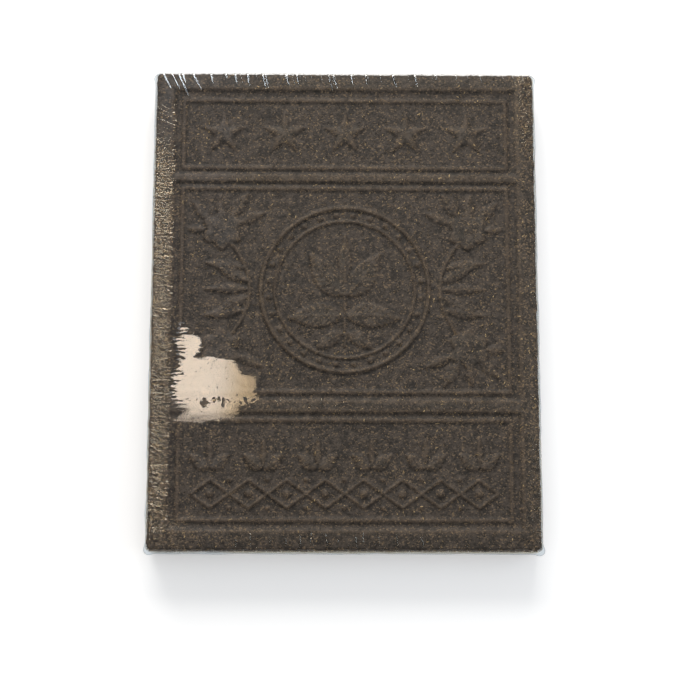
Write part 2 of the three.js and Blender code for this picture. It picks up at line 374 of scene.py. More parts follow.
@dataclass(frozen=True)
class FaceDesign:
    """The pressed face: a bed inside a flat rim, with the design raised in it."""

    half_width: float
    half_height: float
    rim_z: float
    bed_depth: float = 1.25
    rim_side: float = 8.5
    rim_top: float = 8.0
    rim_bottom: float = 9.0
    slope: float = 2.9
    field_half: float = 79.0
    star_field: Pair = (72.3, 104.0)
    picture_field: Pair = (-41.5, 58.0)
    band_field: Pair = (-104.0, -59.0)
    dividers: tuple[Pair, ...] = ((65.1, 6.2), (-50.3, 8.6))
    forms: list[Form] = field(default_factory=list)

    def compose(self) -> None:
        """Puts every raised form of the design on the list."""
        for low, high in (self.star_field, self.picture_field, self.band_field):
            self.forms.append(Bead(self.field_half, low, high))
        for y, width in self.dividers:
            end = self.half_width - self.rim_side
            self.forms.append(Bar((-end, y), (end, y), width, height=1.1, bevel=1.9))
        self.add_stars()
        self.add_medallion()
        self.add_flowers()
        self.add_band()

    def add_stars(self, count: int = 5, pitch: float = 30.4, y: float = 88.4) -> None:
        """Adds the row of stars.

        Args:
            count: Number of stars.
            pitch: Distance between two of them.
            y: Height of their middles on the face.
        """
        for index in range(count):
            self.forms.append(Star((index - (count - 1) / 2) * pitch, y))

    def add_medallion(self, pearls: int = 28, reach: float = 37.85) -> None:
        """Adds the two rings, the pearls between them and the tea shoot inside them.

        Args:
            pearls: Number of pearls.
            reach: Distance of a pearl from the middle.
        """
        middle = sum(self.picture_field) / 2
        self.forms.append(Ring(0, middle, radius=41.5, width=2.6, height=1.1))
        self.forms.append(Ring(0, middle, radius=34.6, width=1.9, height=0.9))
        for turn in (np.arange(pearls) + 0.5) * 2 * math.pi / pearls:
            x, y = reach * math.cos(turn), middle + reach * math.sin(turn)
            self.forms.append(Knob(x, y, radius=1.7, height=0.9))
        foot, head = (0, middle - 28.5), (0, middle + 4)
        self.forms.append(Bar(foot, head, width=2.2, height=0.8, bevel=0.9))
        self.forms.append(Leaf(0, middle + 2, 90, 27, 7.5, height=1.15, veins=9))
        leaves = ((-4, 44, 29, 13.5, 4.0), (-14, 8, 28, 13.0, -5.0), (-22, -20, 17, 7.5, -3.0))
        for start, angle, length, width, bend in leaves:
            shape = {"length": length, "width": width, "height": 1.05, "veins": round(length / 3)}
            self.forms.append(Leaf(0, middle + start, angle, bend=-bend, **shape))
            self.forms.append(Leaf(0, middle + start, 180 - angle, bend=bend, **shape))

    def add_flowers(self, x: float = 61.0, up: float = 30.0, petals: int = 6) -> None:
        """Adds the tea flowers in the four corners, and the vines that join them.

        Args:
            x: How far a flower is from the middle line.
            up: How far it is above or below the medallion's middle.
            petals: Number of petals of a flower.
        """
        middle = sum(self.picture_field) / 2
        blades = ((44, 7, 14.5, 6.4), (2, 8, 10, 5), (86, 7, 12, 6), (124, 7, 17, 6.6), (157, 8, 16, 5.6))
        offshoots = ((0.0, 0, 24, 5.6), (3.5, 27, 21, 6.6), (10.5, 8, 22, 6.2))
        for across in (-1, 1):
            vine = Vine(across, middle)
            self.forms.append(vine)
            for turn in (-1, 1):
                for rise, tilt, length, width in offshoots:
                    start = across * (vine.close + (vine.far - vine.close) * (rise / vine.span) ** 2)
                    angle = turn * tilt if across > 0 else 180 - turn * tilt
                    self.forms.append(
                        Leaf(start, middle + turn * rise, angle, length, width, height=0.9, veins=6)
                    )
                heart = (across * x, middle + turn * up)
                for angle, start, length, width in blades:
                    cos = across * math.cos(math.radians(angle))
                    sin = turn * math.sin(math.radians(angle))
                    facing = math.degrees(math.atan2(sin, cos))
                    foot = (heart[0] + start * cos, heart[1] + start * sin)
                    self.forms.append(Leaf(*foot, facing, length, width, height=0.9, veins=5))
                for petal in range(petals):
                    angle = (petal + 0.5) * 360 / petals
                    self.forms.append(Leaf(*heart, angle, 10.5, 9.0, blunt=0.62, height=1.0))
                self.forms.append(Knob(*heart, 2.7, 1.15))

    def add_band(self, sprigs: int = 6, diamonds: int = 8) -> None:
        """Adds the row of small tea shoots and the band of diamonds under it.

        Args:
            sprigs: Number of shoots.
            diamonds: Number of diamonds.
        """
        pitch, foot = 26.2, -81
        for index in range(sprigs):
            x = (index - (sprigs - 1) / 2) * pitch
            self.forms.append(Leaf(x, foot, 90, 16.5, 4.4, height=1.05, veins=6))
            for angle, bend in ((26, -2.4), (154, 2.4)):
                self.forms.append(Leaf(x, foot, angle, 12.5, 7.0, bend=bend, height=1.0, veins=5))
        low, high, pitch = -99.8, -86.2, 18.6
        middle = (low + high) / 2
        for index in range(diamonds):
            x = (index - (diamonds - 1) / 2) * pitch
            for side in (-pitch / 2, pitch / 2):
                for tip in (low, high):
                    self.forms.append(Bar((x + side, middle), (x, tip), 2.1, 0.95, 0.85))
            self.forms.append(Knob(x, middle, 2.4, 1.0))
            if index < diamonds - 1:
                for y in (low, high):
                    self.forms.append(Knob(x + pitch / 2, y, 1.4, 0.9))

    def moulding(self, x: Array, y: Array) -> Array:
        """Height of the face without its grain.

        The bed lies under the rim by a smooth step over the distance in from the rim's
        inner edge, and each form stands on the bed, so that the higher of two forms shows.

        Args:
            x: Places across the face, in mm.
            y: Places up the face, in mm.

        Returns:
            Heights above the back, in mm.
        """
        across = self.half_width - self.rim_side - np.abs(x)
        inside = np.minimum(across, self.half_height - self.rim_top - y)
        inside = np.minimum(inside, y + self.half_height - self.rim_bottom)
        from_edge = np.minimum(self.half_width - np.abs(x), self.half_height - np.abs(y))
        ground = self.rim_z - rim_fall(from_edge) - self.bed_depth * smooth(inside / self.slope + 0.15)
        raised = np.zeros(np.shape(x))
        for form in self.forms:
            middle_x, middle_y, reach_x, reach_y = form.near
            mask = (np.abs(x - middle_x) <= reach_x) & (np.abs(y - middle_y) <= reach_y)
            if mask.any():
                raised[mask] = np.maximum(raised[mask], form.rise(x[mask], y[mask]))
        return np.maximum(ground, self.rim_z - self.bed_depth + raised)

    def grain(self, x: Array, y: Array) -> Array:
        """The uneven surface of the pressed leaf dust: broad waves, lumps and fine grains."""
        waves = 0.08 * Noise(3).layers(x, y, 34.0, 2)
        lumps = 0.07 * Noise(5).layers(x, y, 4.2, 2)
        grains = 0.055 * Noise(7).layers(x, y, 1.6, 2)
        return waves + lumps + grains

    def pale_dust_and_glint(self, x: Array, y: Array) -> Array:
        """Where the tea is paler: golden dust along the left rim, at the upper right and, half as strong,
        along the bottom at the left; on the left rim it is also a painted highlight for the film's glints.

        Each is a smooth step over the distance across the rim, times smooth steps over the
        height at its ends, and the right rim's lower end keeps a third of it.

        Args:
            x: Places across the face, in mm.
            y: Places up the face, in mm.

        Returns:
            Shares from 0 to 1.
        """
        left = smooth((-84.0 - x) / 3.5) * smooth((86.0 - y) / 22.0) * smooth((y + 122.0) / 14.0)
        right = smooth((x - 83.0) / 7.0) * np.maximum(smooth((y - 55.0) / 40.0), 0.35)
        lower = 0.5 * smooth((-100.0 - y) / 8.0) * smooth((-60.0 - x) / 25.0)
        return np.maximum(np.maximum(left, right), lower)

    def height(self, x: Array, y: Array) -> Array:
        """Height of the finished face above the back, in mm."""
        return self.moulding(x, y) + self.grain(x, y)


@dataclass
class Skin:
    """A closed mesh, gathered from grids, rings and the seams between them."""

    points: list[Array] = field(default_factory=list)
    quads: list[Array] = field(default_factory=list)
    triangles: list[Array] = field(default_factory=list)
    count: int = 0

    def add(self, points: Array) -> Array:
        """Adds points.

        Args:
            points: An array whose last axis is x, y and z in mm.

        Returns:
            Their numbers in the mesh, in an array of the same shape without the last axis.
        """
        flat = points.reshape(-1, 3)
        numbers = np.arange(self.count, self.count + len(flat)).reshape(points.shape[:-1])
        self.points.append(flat)
        self.count += len(flat)
        return numbers

    def add_grid(self, points: Array, upwards: bool) -> Array:
        """Adds a grid of quads.

        Args:
            points: Rows of points, the rows going up +Y and the points along +X.
            upwards: True where the faces look up, False where they look down.

        Returns:
            The numbers of the points on its border, going round from the corner at the
            lowest x and y, along +X first.
        """
        numbers = self.add(points)
        corners = [numbers[:-1, :-1], numbers[:-1, 1:], numbers[1:, 1:], numbers[1:, :-1]]
        order = corners if upwards else corners[::-1]
        self.quads.append(np.stack([part.ravel() for part in order], axis=1))
        sides = [numbers[0, :-1], numbers[:-1, -1], numbers[-1, :0:-1], numbers[:0:-1, 0]]
        return np.concatenate(sides)

    def join(self, inner: Array, outer: Array) -> None:
        """Joins two rings that have the same number of points, with quads.

        Args:
            inner: Numbers of the ring that is nearer the middle of the face.
            outer: Numbers of the next ring, outwards, then down, then in under the back.
        """
        inner_next, outer_next = np.roll(inner, -1), np.roll(outer, -1)
        self.quads.append(np.stack([inner, outer, outer_next, inner_next], axis=1))

    def zip_out(self, coarse: Array, fine: Array) -> None:
        """Joins a coarse ring to a fine one outside it, by fans of triangles.

        Args:
            coarse: Numbers of the coarse ring.
            fine: Numbers of the fine ring, which has a whole number of steps to each coarse one.
        """
        ratio = len(fine) // len(coarse)
        half = (ratio + 1) // 2
        steps = fine.reshape(-1, ratio)
        following = np.roll(fine, -1).reshape(-1, ratio)
        after = np.roll(coarse, -1)
        for step in range(ratio):
            fan = coarse if step < half else after
            self.triangles.append(np.stack([fan, steps[:, step], following[:, step]], axis=1))
        turning = steps[:, half] if half < ratio else following[:, -1]
        self.triangles.append(np.stack([coarse, turning, after], axis=1))

    def zip_in(self, fine: Array, coarse: Array) -> None:
        """Joins a fine ring to a coarse one further on, by fans of triangles.

        Args:
            fine: Numbers of the fine ring.
            coarse: Numbers of the coarse ring.
        """
        before = len(self.triangles)
        self.zip_out(coarse, fine)
        self.triangles[before:] = [part[:, ::-1] for part in self.triangles[before:]]

    def make(self, name: str) -> bpy.types.Object:
        """Makes the mesh object.

        Args:
            name: The piece's name.

        Returns:
            The object, at the origin, with its place in its mesh and its faces smooth.
        """
        points = np.concatenate(self.points) * MM
        quads = np.concatenate(self.quads) if self.quads else np.zeros((0, 4), int)
        triangles = np.concatenate(self.triangles) if self.triangles else np.zeros((0, 3), int)
        return make_object(name, points, quads, triangles)


def make_object(
    name: str, points: Array, quads: Array, triangles: Array, rounded: bool = True
) -> bpy.types.Object:
    """Makes a mesh object from whole arrays.

    Args:
        name: The piece's name.
        points: Points in metres, one row each.
        quads: Faces of four points.
        triangles: Faces of three points.
        rounded: True for smooth shading.

    Returns:
        The object, linked to the scene.
    """
    mesh = bpy.data.meshes.new(name)
    mesh.vertices.add(len(points))
    mesh.vertices.foreach_set("co", points.astype(np.float32).ravel())
    loops = np.concatenate([quads.ravel(), triangles.ravel()]).astype(np.int32)
    starts = np.concatenate(
        [np.arange(len(quads)) * 4, len(quads) * 4 + np.arange(len(triangles)) * 3]
    ).astype(np.int32)
    mesh.loops.add(len(loops))
    mesh.loops.foreach_set("vertex_index", loops)
    mesh.polygons.add(len(starts))
    mesh.polygons.foreach_set("loop_start", starts)
    mesh.polygons.foreach_set("use_smooth", np.full(len(starts), rounded))
    mesh.update(calc_edges=True)
    mesh.validate()
    piece = bpy.data.objects.new(name, mesh)
    bpy.context.scene.collection.objects.link(piece)
    return piece


def set_attribute(piece: bpy.types.Object, name: str, values: Array) -> None:
    """Stores one number for each point of a mesh, for its material to read.

    Args:
        piece: The object.
        name: The attribute's name.
        values: One number for each point.
    """
    layer = piece.data.attributes.new(name, "FLOAT", "POINT")
    layer.data.foreach_set("value", values.astype(np.float32).ravel())


@dataclass(frozen=True)
class Block:
    """A flat block with round corners in plan: its half sizes and corner radius, in mm."""

    half_x: float
    half_y: float
    radius: float

    def fold_corners(self, x: Array, y: Array) -> tuple[Array, Array]:
        """Moves points in the corner squares of the plan into the quarter circles.

        With s and t from 0 to 1 across the corner square, the point goes to
        s sqrt(1 - t^2 / 2) and t sqrt(1 - s^2 / 2) radii from the corner's centre.

        Args:
            x: Places across.
            y: Places up.

        Returns:
            The new places.
        """
        s = np.clip((np.abs(x) - self.half_x + self.radius) / self.radius, 0.0, 1.0)
        t = np.clip((np.abs(y) - self.half_y + self.radius) / self.radius, 0.0, 1.0)
        moved_x = self.radius * (s * np.sqrt(1 - t * t / 2) - s)
        moved_y = self.radius * (t * np.sqrt(1 - s * s / 2) - t)
        return x + np.sign(x) * moved_x, y + np.sign(y) * moved_y

    def outward(self, x: Array, y: Array) -> Array:
        """The plan direction out of the block at points of its border.

        Args:
            x: Places across, on the border.
            y: Places up, on the border.

        Returns:
            Directions, with x and y on the last axis.
        """
        across = np.sign(x) * np.maximum(np.abs(x) - self.half_x + self.radius, 0.0)
        up = np.sign(y) * np.maximum(np.abs(y) - self.half_y + self.radius, 0.0)
        away = np.stack([across, up], axis=-1)
        return away / np.maximum(np.linalg.norm(away, axis=-1, keepdims=True), 1e-9)


@dataclass(frozen=True)
class TeaBlock:
    """The block of pressed tea under the film.

    Its face is a grid of columns and lines, and its back has one step for each thin ones. Walls
    and arc are the steps down the wall and round each edge, and back_share is how much of the
    plan the back's grid takes.
    """

    plan: Block
    design: FaceDesign
    back_z: float = 0.35
    back_share: float = 0.985
    edge: float = 1.2
    columns: int = 252
    lines: int = 316
    thin: int = 4
    walls: int = 6
    arc: int = 3

    def roughness_out(self, x: Array, y: Array, z: Array) -> Array:
        """How far a wall stands out at a place: lumps of noise over its length and height.

        Args:
            x: Places across, on the wall.
            y: Places up, on the wall.
            z: Heights on the wall.

        Returns:
            Distances out, in mm.
        """
        return 0.1 * Noise(11).layers(x - y, z, 7.0, 2) + 0.3 * Noise(13).layers(x - y, z, 1.8, 2) - 0.2

    def profile(self) -> Array:
        """The wall's section, from the face's border down to the back's.

        Returns:
            Rows of distance out from the border, height, and the share of wall roughness.
        """
        top = self.design.rim_z
        turn = np.linspace(0, math.pi / 2, self.arc + 1)[1:]
        sin, cos, share = np.sin(turn), np.cos(turn), turn / turn[-1]
        upper = np.stack([self.edge * sin, top - self.edge * (1 - cos), share], 1)
        heights = np.linspace(top - self.edge, self.back_z + self.edge, self.walls + 1)[1:]
        wall = np.stack([np.full(self.walls, self.edge), heights, np.ones(self.walls)], 1)
        lower = np.stack([self.edge * cos, self.back_z + self.edge * (1 - sin), 1 - share], 1)
        return np.concatenate([upper, wall, lower])

    def build(self) -> bpy.types.Object:
        """Makes the block as one closed mesh, with how deep each point lies as an attribute.

        The face is a grid whose height is the design's, the wall is the section above
        carried round the grid's border, and the back is a grid of wider steps.

        Returns:
            The object.
        """
        skin = Skin()
        half_x, half_y = self.plan.half_x - self.edge, self.plan.half_y - self.edge
        inner = Block(half_x, half_y, self.plan.radius - self.edge)
        x, y = np.meshgrid(
            np.linspace(-half_x, half_x, self.columns + 1), np.linspace(-half_y, half_y, self.lines + 1)
        )
        x, y = inner.fold_corners(x, y)
        z = self.design.height(x, y)
        ring = skin.add_grid(np.stack([x, y, z], -1), upwards=True)
        border = np.concatenate(skin.points)[ring]
        out = inner.outward(border[:, 0], border[:, 1])
        drop = border[:, 2] - self.design.rim_z
        for distance, height, share in self.profile():
            level = np.full(len(border), height)
            away = distance + share * self.roughness_out(border[:, 0], border[:, 1], level)
            place = border[:, :2] + out * away[:, None]
            fade = max(0.0, 1.0 - (self.design.rim_z - height) / (2 * self.edge))
            after = skin.add(np.column_stack([place, height + drop * fade]))
            skin.join(ring, after)
            ring = after
        back_x, back_y = np.meshgrid(
            np.linspace(-half_x, half_x, self.columns // self.thin + 1) * self.back_share,
            np.linspace(-half_y, half_y, self.lines // self.thin + 1) * self.back_share,
        )
        dents = 0.12 * np.abs(Noise(17).layers(back_x, back_y, 9.0, 2))
        back = skin.add_grid(np.stack([back_x, back_y, self.back_z + dents], -1), upwards=False)
        skin.zip_in(ring, back)
        piece = skin.make("pressed_tea")
        # The hollow attribute is the depth under the mean round each point; the tea's material turns it
        # into painted shade in hollows and a painted highlight on crests.
        depth = np.zeros(skin.count)
        depth[: z.size] = self.hollowness(z).ravel()
        set_attribute(piece, "hollow", depth)
        # pale: golden dust, and along the left rim also a painted highlight for the film's glints.
        across, up, height = np.concatenate(skin.points).T
        pale = np.where(height > self.design.rim_z / 2, self.design.pale_dust_and_glint(across, up), 0.3)
        set_attribute(piece, "pale", pale)
        return piece

    def hollowness(self, z: Array, reach: int = 3) -> Array:
        """How far each point of the face lies under the mean of the points round it.

        Args:
            z: Heights on the grid.
            reach: Half the width of the square that the mean is taken over, in grid steps.

        Returns:
            Depths in mm, below 0 on ridges.
        """
        padded = np.pad(z, reach, mode="edge")
        total = np.zeros(z.shape)
        for down in range(2 * reach + 1):
            for along in range(2 * reach + 1):
                total += padded[down : down + z.shape[0], along : along + z.shape[1]]
        return total / (2 * reach + 1) ** 2 - z


class Kind(Enum):
    """The kinds of loose-looking bits in the pressed tea."""

    DARK_LEAF = "dark_leaf_bits"
    BROWN_LEAF = "brown_leaf_bits"
    STALK = "stalk_bits"
    TIP = "golden_tips"


@dataclass(frozen=True)
class Bits:
    """Small bits of one kind that show in the surface of the block: their number and sizes."""

    kind: Kind
    count: int
    length: Pair
    width: Pair
    thickness: float
    sides: int
    seed: int
    tilt: float = 0.25
    patchy: float = 0.35
    crowding: float = 0.0

    def template(self) -> tuple[Array, Array]:
        """One bit: a closed lens whose outline has a few sides, with a point above and below.

        Returns:
            Its points, from -1 to 1 along each axis, and its triangles.
        """
        turn = np.arange(self.sides) * 2 * math.pi / self.sides
        rim = np.stack([np.cos(turn), np.sin(turn), np.zeros(self.sides)], 1)
        points = np.concatenate([rim, [[0.1, 0, 1]], [[-0.1, 0, -1]]])
        here = np.arange(self.sides)
        after = (here + 1) % self.sides
        top = np.stack([here, after, np.full(self.sides, self.sides)], 1)
        bottom = np.stack([after, here, np.full(self.sides, self.sides + 1)], 1)
        return points, np.concatenate([top, bottom])

    def build(self, block: TeaBlock) -> bpy.types.Object:
        """Scatters the bits over the block, as one mesh.

        Each bit is the template scaled to its own length, width and thickness, with its
        outline made uneven, turned at random in the surface, tilted a little, and moved
        to its place.

        Args:
            block: The block that the bits lie in.

        Returns:
            The object.
        """
        rng = np.random.default_rng(self.seed)
        places, normals = scatter(block, self.count, rng, self.patchy, self.crowding)
        count = len(places)
        points, triangles = self.template()
        uneven = 1 + rng.uniform(-0.3, 0.25, (count, len(points), 1))
        local = points[None] * uneven
        local = local * np.stack(
            [
                rng.uniform(*self.length, count) / 2,
                rng.uniform(*self.width, count) / 2,
                np.full(count, self.thickness / 2),
            ],
            1,
        )[:, None]
        leaning = normals + rng.normal(0, self.tilt, (count, 3))
        upright = leaning / np.linalg.norm(leaning, axis=1, keepdims=True)
        along = np.cross(upright, rng.normal(size=(count, 3)))
        along /= np.linalg.norm(along, axis=1, keepdims=True)
        across = np.cross(upright, along)
        frame = np.stack([along, across, upright], 1)
        placed = np.einsum("nij,njk->nik", local, frame) + places[:, None]
        limit = np.array([block.plan.half_x + 0.48, block.plan.half_y + 0.48, block.design.rim_z + 0.33])
        placed = np.clip(placed, [-limit[0], -limit[1], 0.06], limit)
        faces = triangles[None] + (np.arange(count) * len(points))[:, None, None]
        piece = make_object(
            self.kind.value,
            placed.reshape(-1, 3) * MM,
            np.zeros((0, 4), int),
            faces.reshape(-1, 3),
            rounded=False,
        )
        set_attribute(piece, "shade", np.repeat(rng.random(count), len(points)))
        return piece


def scatter(
    block: TeaBlock, count: int, rng: np.random.Generator, patchy: float, crowding: float
) -> tuple[Array, Array]:
    """Spreads points over the face, the walls and the back of the block.

    Args:
        block: The block.
        count: Number of points before the patchy ones are left out.
        rng: The random draw.
        patchy: From 0, even, to 1, where whole patches are bare.
        crowding: From 0, even, to 1, where most lie at the left rim and the upper right.

    Returns:
        The points, and the directions out of the surface there.
    """
    face_share, wall_share, inset = 0.62, 0.16, 0.6
    half_x, half_y = block.plan.half_x - inset, block.plan.half_y - inset
    faces = int(count * face_share)
    walls = int(count * wall_share)
    backs = count - faces - walls
    x = rng.uniform(-half_x, half_x, faces)
    y = rng.uniform(-half_y, half_y, faces)
    # Crowding gathers bits where the tea is paler, so golden tips on the left rim also stand in for the
    # film's glints as a painted highlight.
    liking = Noise(23).layers(x, y, 9.0, 2) + 3.0 * crowding * (block.design.pale_dust_and_glint(x, y) - 0.5)
    keep = liking + rng.uniform(-1, 1, faces) > patchy * 2 - 1.4
    x, y = x[keep], y[keep]
    step = 0.5
    here = block.design.height(x, y)
    slope_x = (block.design.height(x + step, y) - block.design.height(x - step, y)) / (2 * step)
    slope_y = (block.design.height(x, y + step) - block.design.height(x, y - step)) / (2 * step)
    over = np.maximum(np.abs(x) - half_x + 1.0, np.abs(y) - half_y + 1.0)
    face = np.stack([x, y, here - 0.5 * np.maximum(over, 0.0) ** 2 - 0.02], 1)
    face_out = np.stack([-slope_x, -slope_y, np.ones(len(x))], 1)
    long = rng.uniform(-1, 1, walls)
    ends = rng.random(walls) < half_x / (half_x + half_y)
    sign = np.where(rng.random(walls) < 0.5, -1.0, 1.0)
    border_x = np.where(ends, long * half_x, sign * block.plan.half_x)
    border_y = np.where(ends, sign * block.plan.half_y, long * half_y)
    z = rng.uniform(block.back_z + 1.0, block.design.rim_z - 1.0, walls)
    wall_out = np.stack([np.where(ends, 0.0, sign), np.where(ends, sign, 0.0), np.zeros(walls)], 1)
    rough = block.roughness_out(border_x, border_y, z) - 0.02
    wall = np.stack([border_x, border_y, z], 1) + wall_out * rough[:, None]
    back_x = rng.uniform(-half_x, half_x, backs)
    back_y = rng.uniform(-half_y, half_y, backs)
    back = np.stack([back_x, back_y, np.full(backs, block.back_z + 0.08)], 1)
    back_out = np.tile([0.0, 0.0, -1.0], (backs, 1))
    normals = np.concatenate([face_out, wall_out, back_out])
    normals /= np.linalg.norm(normals, axis=1, keepdims=True)
    return np.concatenate([face, wall, back]), normals


@dataclass(frozen=True)
class Wrinkles:
    """A train of wrinkles in the film, side by side along one side of the brick."""

    side: Side
    start: float
    stop: float
    spacing: float
    height: float
    reach: float
    drop: float
    seed: int
    slant: float = 0.0
    share: float = 1.0
    knot: float = 0.5
    gleam: float = 0.8

    def lift(self, along: Array, inward: Array) -> Array:
        """How far the wrinkles lift the film.

        Each wrinkle has a random width about the spacing. Across it the film rises as a
        raised cosine to the power 1.6, and along it from a random end on the rim, where a
        knot of film stands up, to a random end down the wall. With a slant it runs aside
        as it goes in.

        Args:
            along: Places along the side, in mm from its middle.
            inward: Distance in from the brick's edge, in mm, below 0 down the wall.

        Returns:
            Distances out of the film, in mm.
        """
        rng = np.random.default_rng(self.seed)
        count = int((self.stop - self.start) / self.spacing * 1.2) + 4
        widths = self.spacing * rng.uniform(0.55, 1.45, count)
        edges = self.start + np.concatenate([[0.0], np.cumsum(widths)])
        place = along - self.slant * inward
        index = np.clip(np.searchsorted(edges, place) - 1, 0, count - 1)
        share = (place - edges[index]) / widths[index]
        inside = (share > 0) & (share < 1) & (place < self.stop)
        crest = (0.5 - 0.5 * np.cos(2 * math.pi * np.clip(share, 0, 1))) ** 1.6
        tall = self.height * rng.uniform(0.3, 1.0, count) * (rng.random(count) < self.share)
        far = self.reach * rng.uniform(0.6, 1.15, count)
        low = self.drop * rng.uniform(0.4, 1.2, count)
        window = smooth((far[index] - inward) / 1.6) * smooth((inward + low[index]) / 1.6)
        knot = self.knot * np.exp(-(((inward - far[index] + 1.0) / 0.7) ** 2))
        return inside * tall[index] * crest * (window + knot)


@dataclass(frozen=True)
class ClearWrap:
    """The shrink film round the brick: one closed bag, wrinkled where it turns over the edge.

    The sheet over the face is a grid of columns and lines, the rings round it have finer steps,
    and the back's grid is coarser than those. Band is how far the rings reach in from the
    wall, beyond the depth that stands for far outside, and patch the outline of the taut
    patch.
    """

    plan: Block
    top_z: float
    design: FaceDesign
    base_z: float = 0.0
    highest: float = 0.36
    sag: float = 0.3
    wobble: float = 0.12
    band: float = 13.0
    beyond: float = -20.0
    back_inset: float = 5.0
    edge: float = 1.3
    columns: int = 204
    lines: int = 258
    finer: int = 2
    coarser: int = 12
    rows_rim: int = 12
    rows_arc: int = 3
    rows_wall: int = 4
    trains: tuple[Wrinkles, ...] = (
        Wrinkles(Side.LEFT, -114, 114, 1.7, 0.16, 9.8, 5.0, 31, share=0.7, gleam=0.3),
        Wrinkles(Side.RIGHT, -116, -66, 1.8, 0.14, 5.0, 5.0, 33, gleam=0.45),
        Wrinkles(Side.RIGHT, -66, 110, 3.4, 0.1, 4.0, 5.0, 34, share=0.45, gleam=0.4),
        Wrinkles(Side.TOP, -92, 92, 3.6, 0.1, 6.0, 6.0, 37, share=0.5, gleam=0.3),
        Wrinkles(Side.BOTTOM, -94, 94, 3.6, 0.1, 5.0, 6.0, 39, share=0.5, gleam=0.4),
    )
    patch: tuple[Pair, ...] = (
        (-80.0, -10.0), (-76.5, -12.5), (-70.5, -16.6), (-69.8, -23.0), (-73.0, -25.6),
        (-64.4, -26.0), (-53.5, -27.8), (-51.0, -32.4), (-42.0, -34.5), (-41.8, -42.5),
        (-39.6, -46.5), (-41.5, -50.5), (-48.0, -54.0), (-50.0, -59.0), (-70.2, -60.8),
        (-87.5, -60.0), (-81.5, -52.5), (-86.5, -46.0), (-84.7, -39.2), (-80.6, -28.5),
        (-80.6, -23.2), (-84.7, -20.4), (-80.8, -15.0),
    )

    def sheet_z(self, x: Array, y: Array) -> Array:
        """Height of the film over the face.

        It is drawn flat over the taut patch. Elsewhere it has slow waves, and sags a little
        wherever no raised form holds it up.

        Args:
            x: Places across the face.
            y: Places up the face.

        Returns:
            Heights, in mm.
        """
        loose = smooth(-self.patch_depth(x, y) / 6.0)
        inside = np.minimum(self.plan.half_x - np.abs(x), self.plan.half_y - np.abs(y))
        away = smooth((inside - 6.0) / 6.0)
        waves = 0.05 * Noise(41).layers(x, y, 21.0, 2) + 0.012 * Noise(43).layers(x, y, 5.0, 2)
        drawn = self.sag * (1.0 - self.held_up(x, y))
        return self.top_z + away * (loose * (waves - drawn) - 0.06) - rim_fall(inside)

    def held_up(self, x: Array, y: Array) -> Array:
        """How far the tea holds the film up: 1 where a raised form touches it, 0 over the bed.

        Args:
            x: Places across the face.
            y: Places up the face.

        Returns:
            Shares from 0 to 1, by a smooth step over the height of the face.
        """
        return smooth((self.design.moulding(x, y) - self.design.rim_z + 0.95) / 0.7)

    def patch_depth(self, x: Array, y: Array) -> Array:
        """How far points lie inside the outline of the taut patch.

        The distance is to the nearest edge of the outline, below 0 outside it.

        Args:
            x: Places across the face.
            y: Places up the face.

        Returns:
            Distances, in mm.
        """
        nearest = np.full(np.shape(x), 1e9)
        inside = np.zeros(np.shape(x), bool)
        corners = list(zip(self.patch, self.patch[1:] + self.patch[:1]))
        for (x0, y0), (x1, y1) in corners:
            length = (x1 - x0) ** 2 + (y1 - y0) ** 2
            share = np.clip(((x - x0) * (x1 - x0) + (y - y0) * (y1 - y0)) / length, 0.0, 1.0)
            away = np.hypot(x - x0 - share * (x1 - x0), y - y0 - share * (y1 - y0))
            nearest = np.minimum(nearest, away)
            crosses = (y0 > y) != (y1 > y)
            rise = y1 - y0 if y1 != y0 else 1.0
            inside ^= crosses & (x < (x1 - x0) * (y - y0) / rise + x0)
        return np.where(inside, nearest, -nearest)

    def section(self) -> Array:
        """The film's section from the flat sheet over the rim, down the wall and in under the back.

        Returns:
            Rows of distance in from the wall, height, the outward direction in the section
            as its part across and its part up, and the distance in from the edge.
        """
        rim = np.linspace(self.band, self.edge, self.rows_rim)
        none, one = np.zeros(len(rim)), np.ones(len(rim))
        top = np.column_stack([rim, self.top_z - rim_fall(rim), none, one, rim])
        turn = np.linspace(0, math.pi / 2, self.rows_arc + 1)[1:]
        sin, cos = np.sin(turn), np.cos(turn)
        brink = self.top_z - float(rim_fall(np.array(self.edge)))
        inward = self.edge * (1 - 2 * turn / math.pi)
        over = np.column_stack([self.edge * (1 - sin), brink - self.edge * (1 - cos), sin, cos, inward])
        heights = np.linspace(brink - self.edge, self.base_z + self.edge, self.rows_wall + 1)[1:]
        none, one = np.zeros(len(heights)), np.ones(len(heights))
        down = np.column_stack([none, heights, one, none, heights - brink])
        low = self.base_z + self.edge * (1 - sin)
        far = np.full(len(turn), self.beyond)
        under = np.column_stack([self.edge * (1 - cos), low, cos, -sin, far])
        return np.concatenate([top, over, down, under])

    def ring(self, inset: float, radius: float) -> tuple[Array, Array]:
        """A ring of points round the plan, evenly spaced along each side.

        Args:
            inset: Distance in from the wall, in mm.
            radius: Corner radius of this ring.

        Returns:
            The points, and the directions out of the ring.
        """
        across, up = self.columns * self.finer, self.lines * self.finer
        half_x, half_y = self.plan.half_x - inset, self.plan.half_y - inset
        run_x = np.linspace(-half_x, half_x, across + 1)
        run_y = np.linspace(-half_y, half_y, up + 1)
        x = np.concatenate([run_x[:-1], np.full(up, half_x), run_x[:0:-1], np.full(up, -half_x)])
        y = np.concatenate([np.full(across, -half_y), run_y[:-1], np.full(across, half_y), run_y[:0:-1]])
        block = Block(half_x, half_y, max(radius, 0.05))
        x, y = block.fold_corners(x, y)
        return np.stack([x, y], 1), block.outward(x, y)

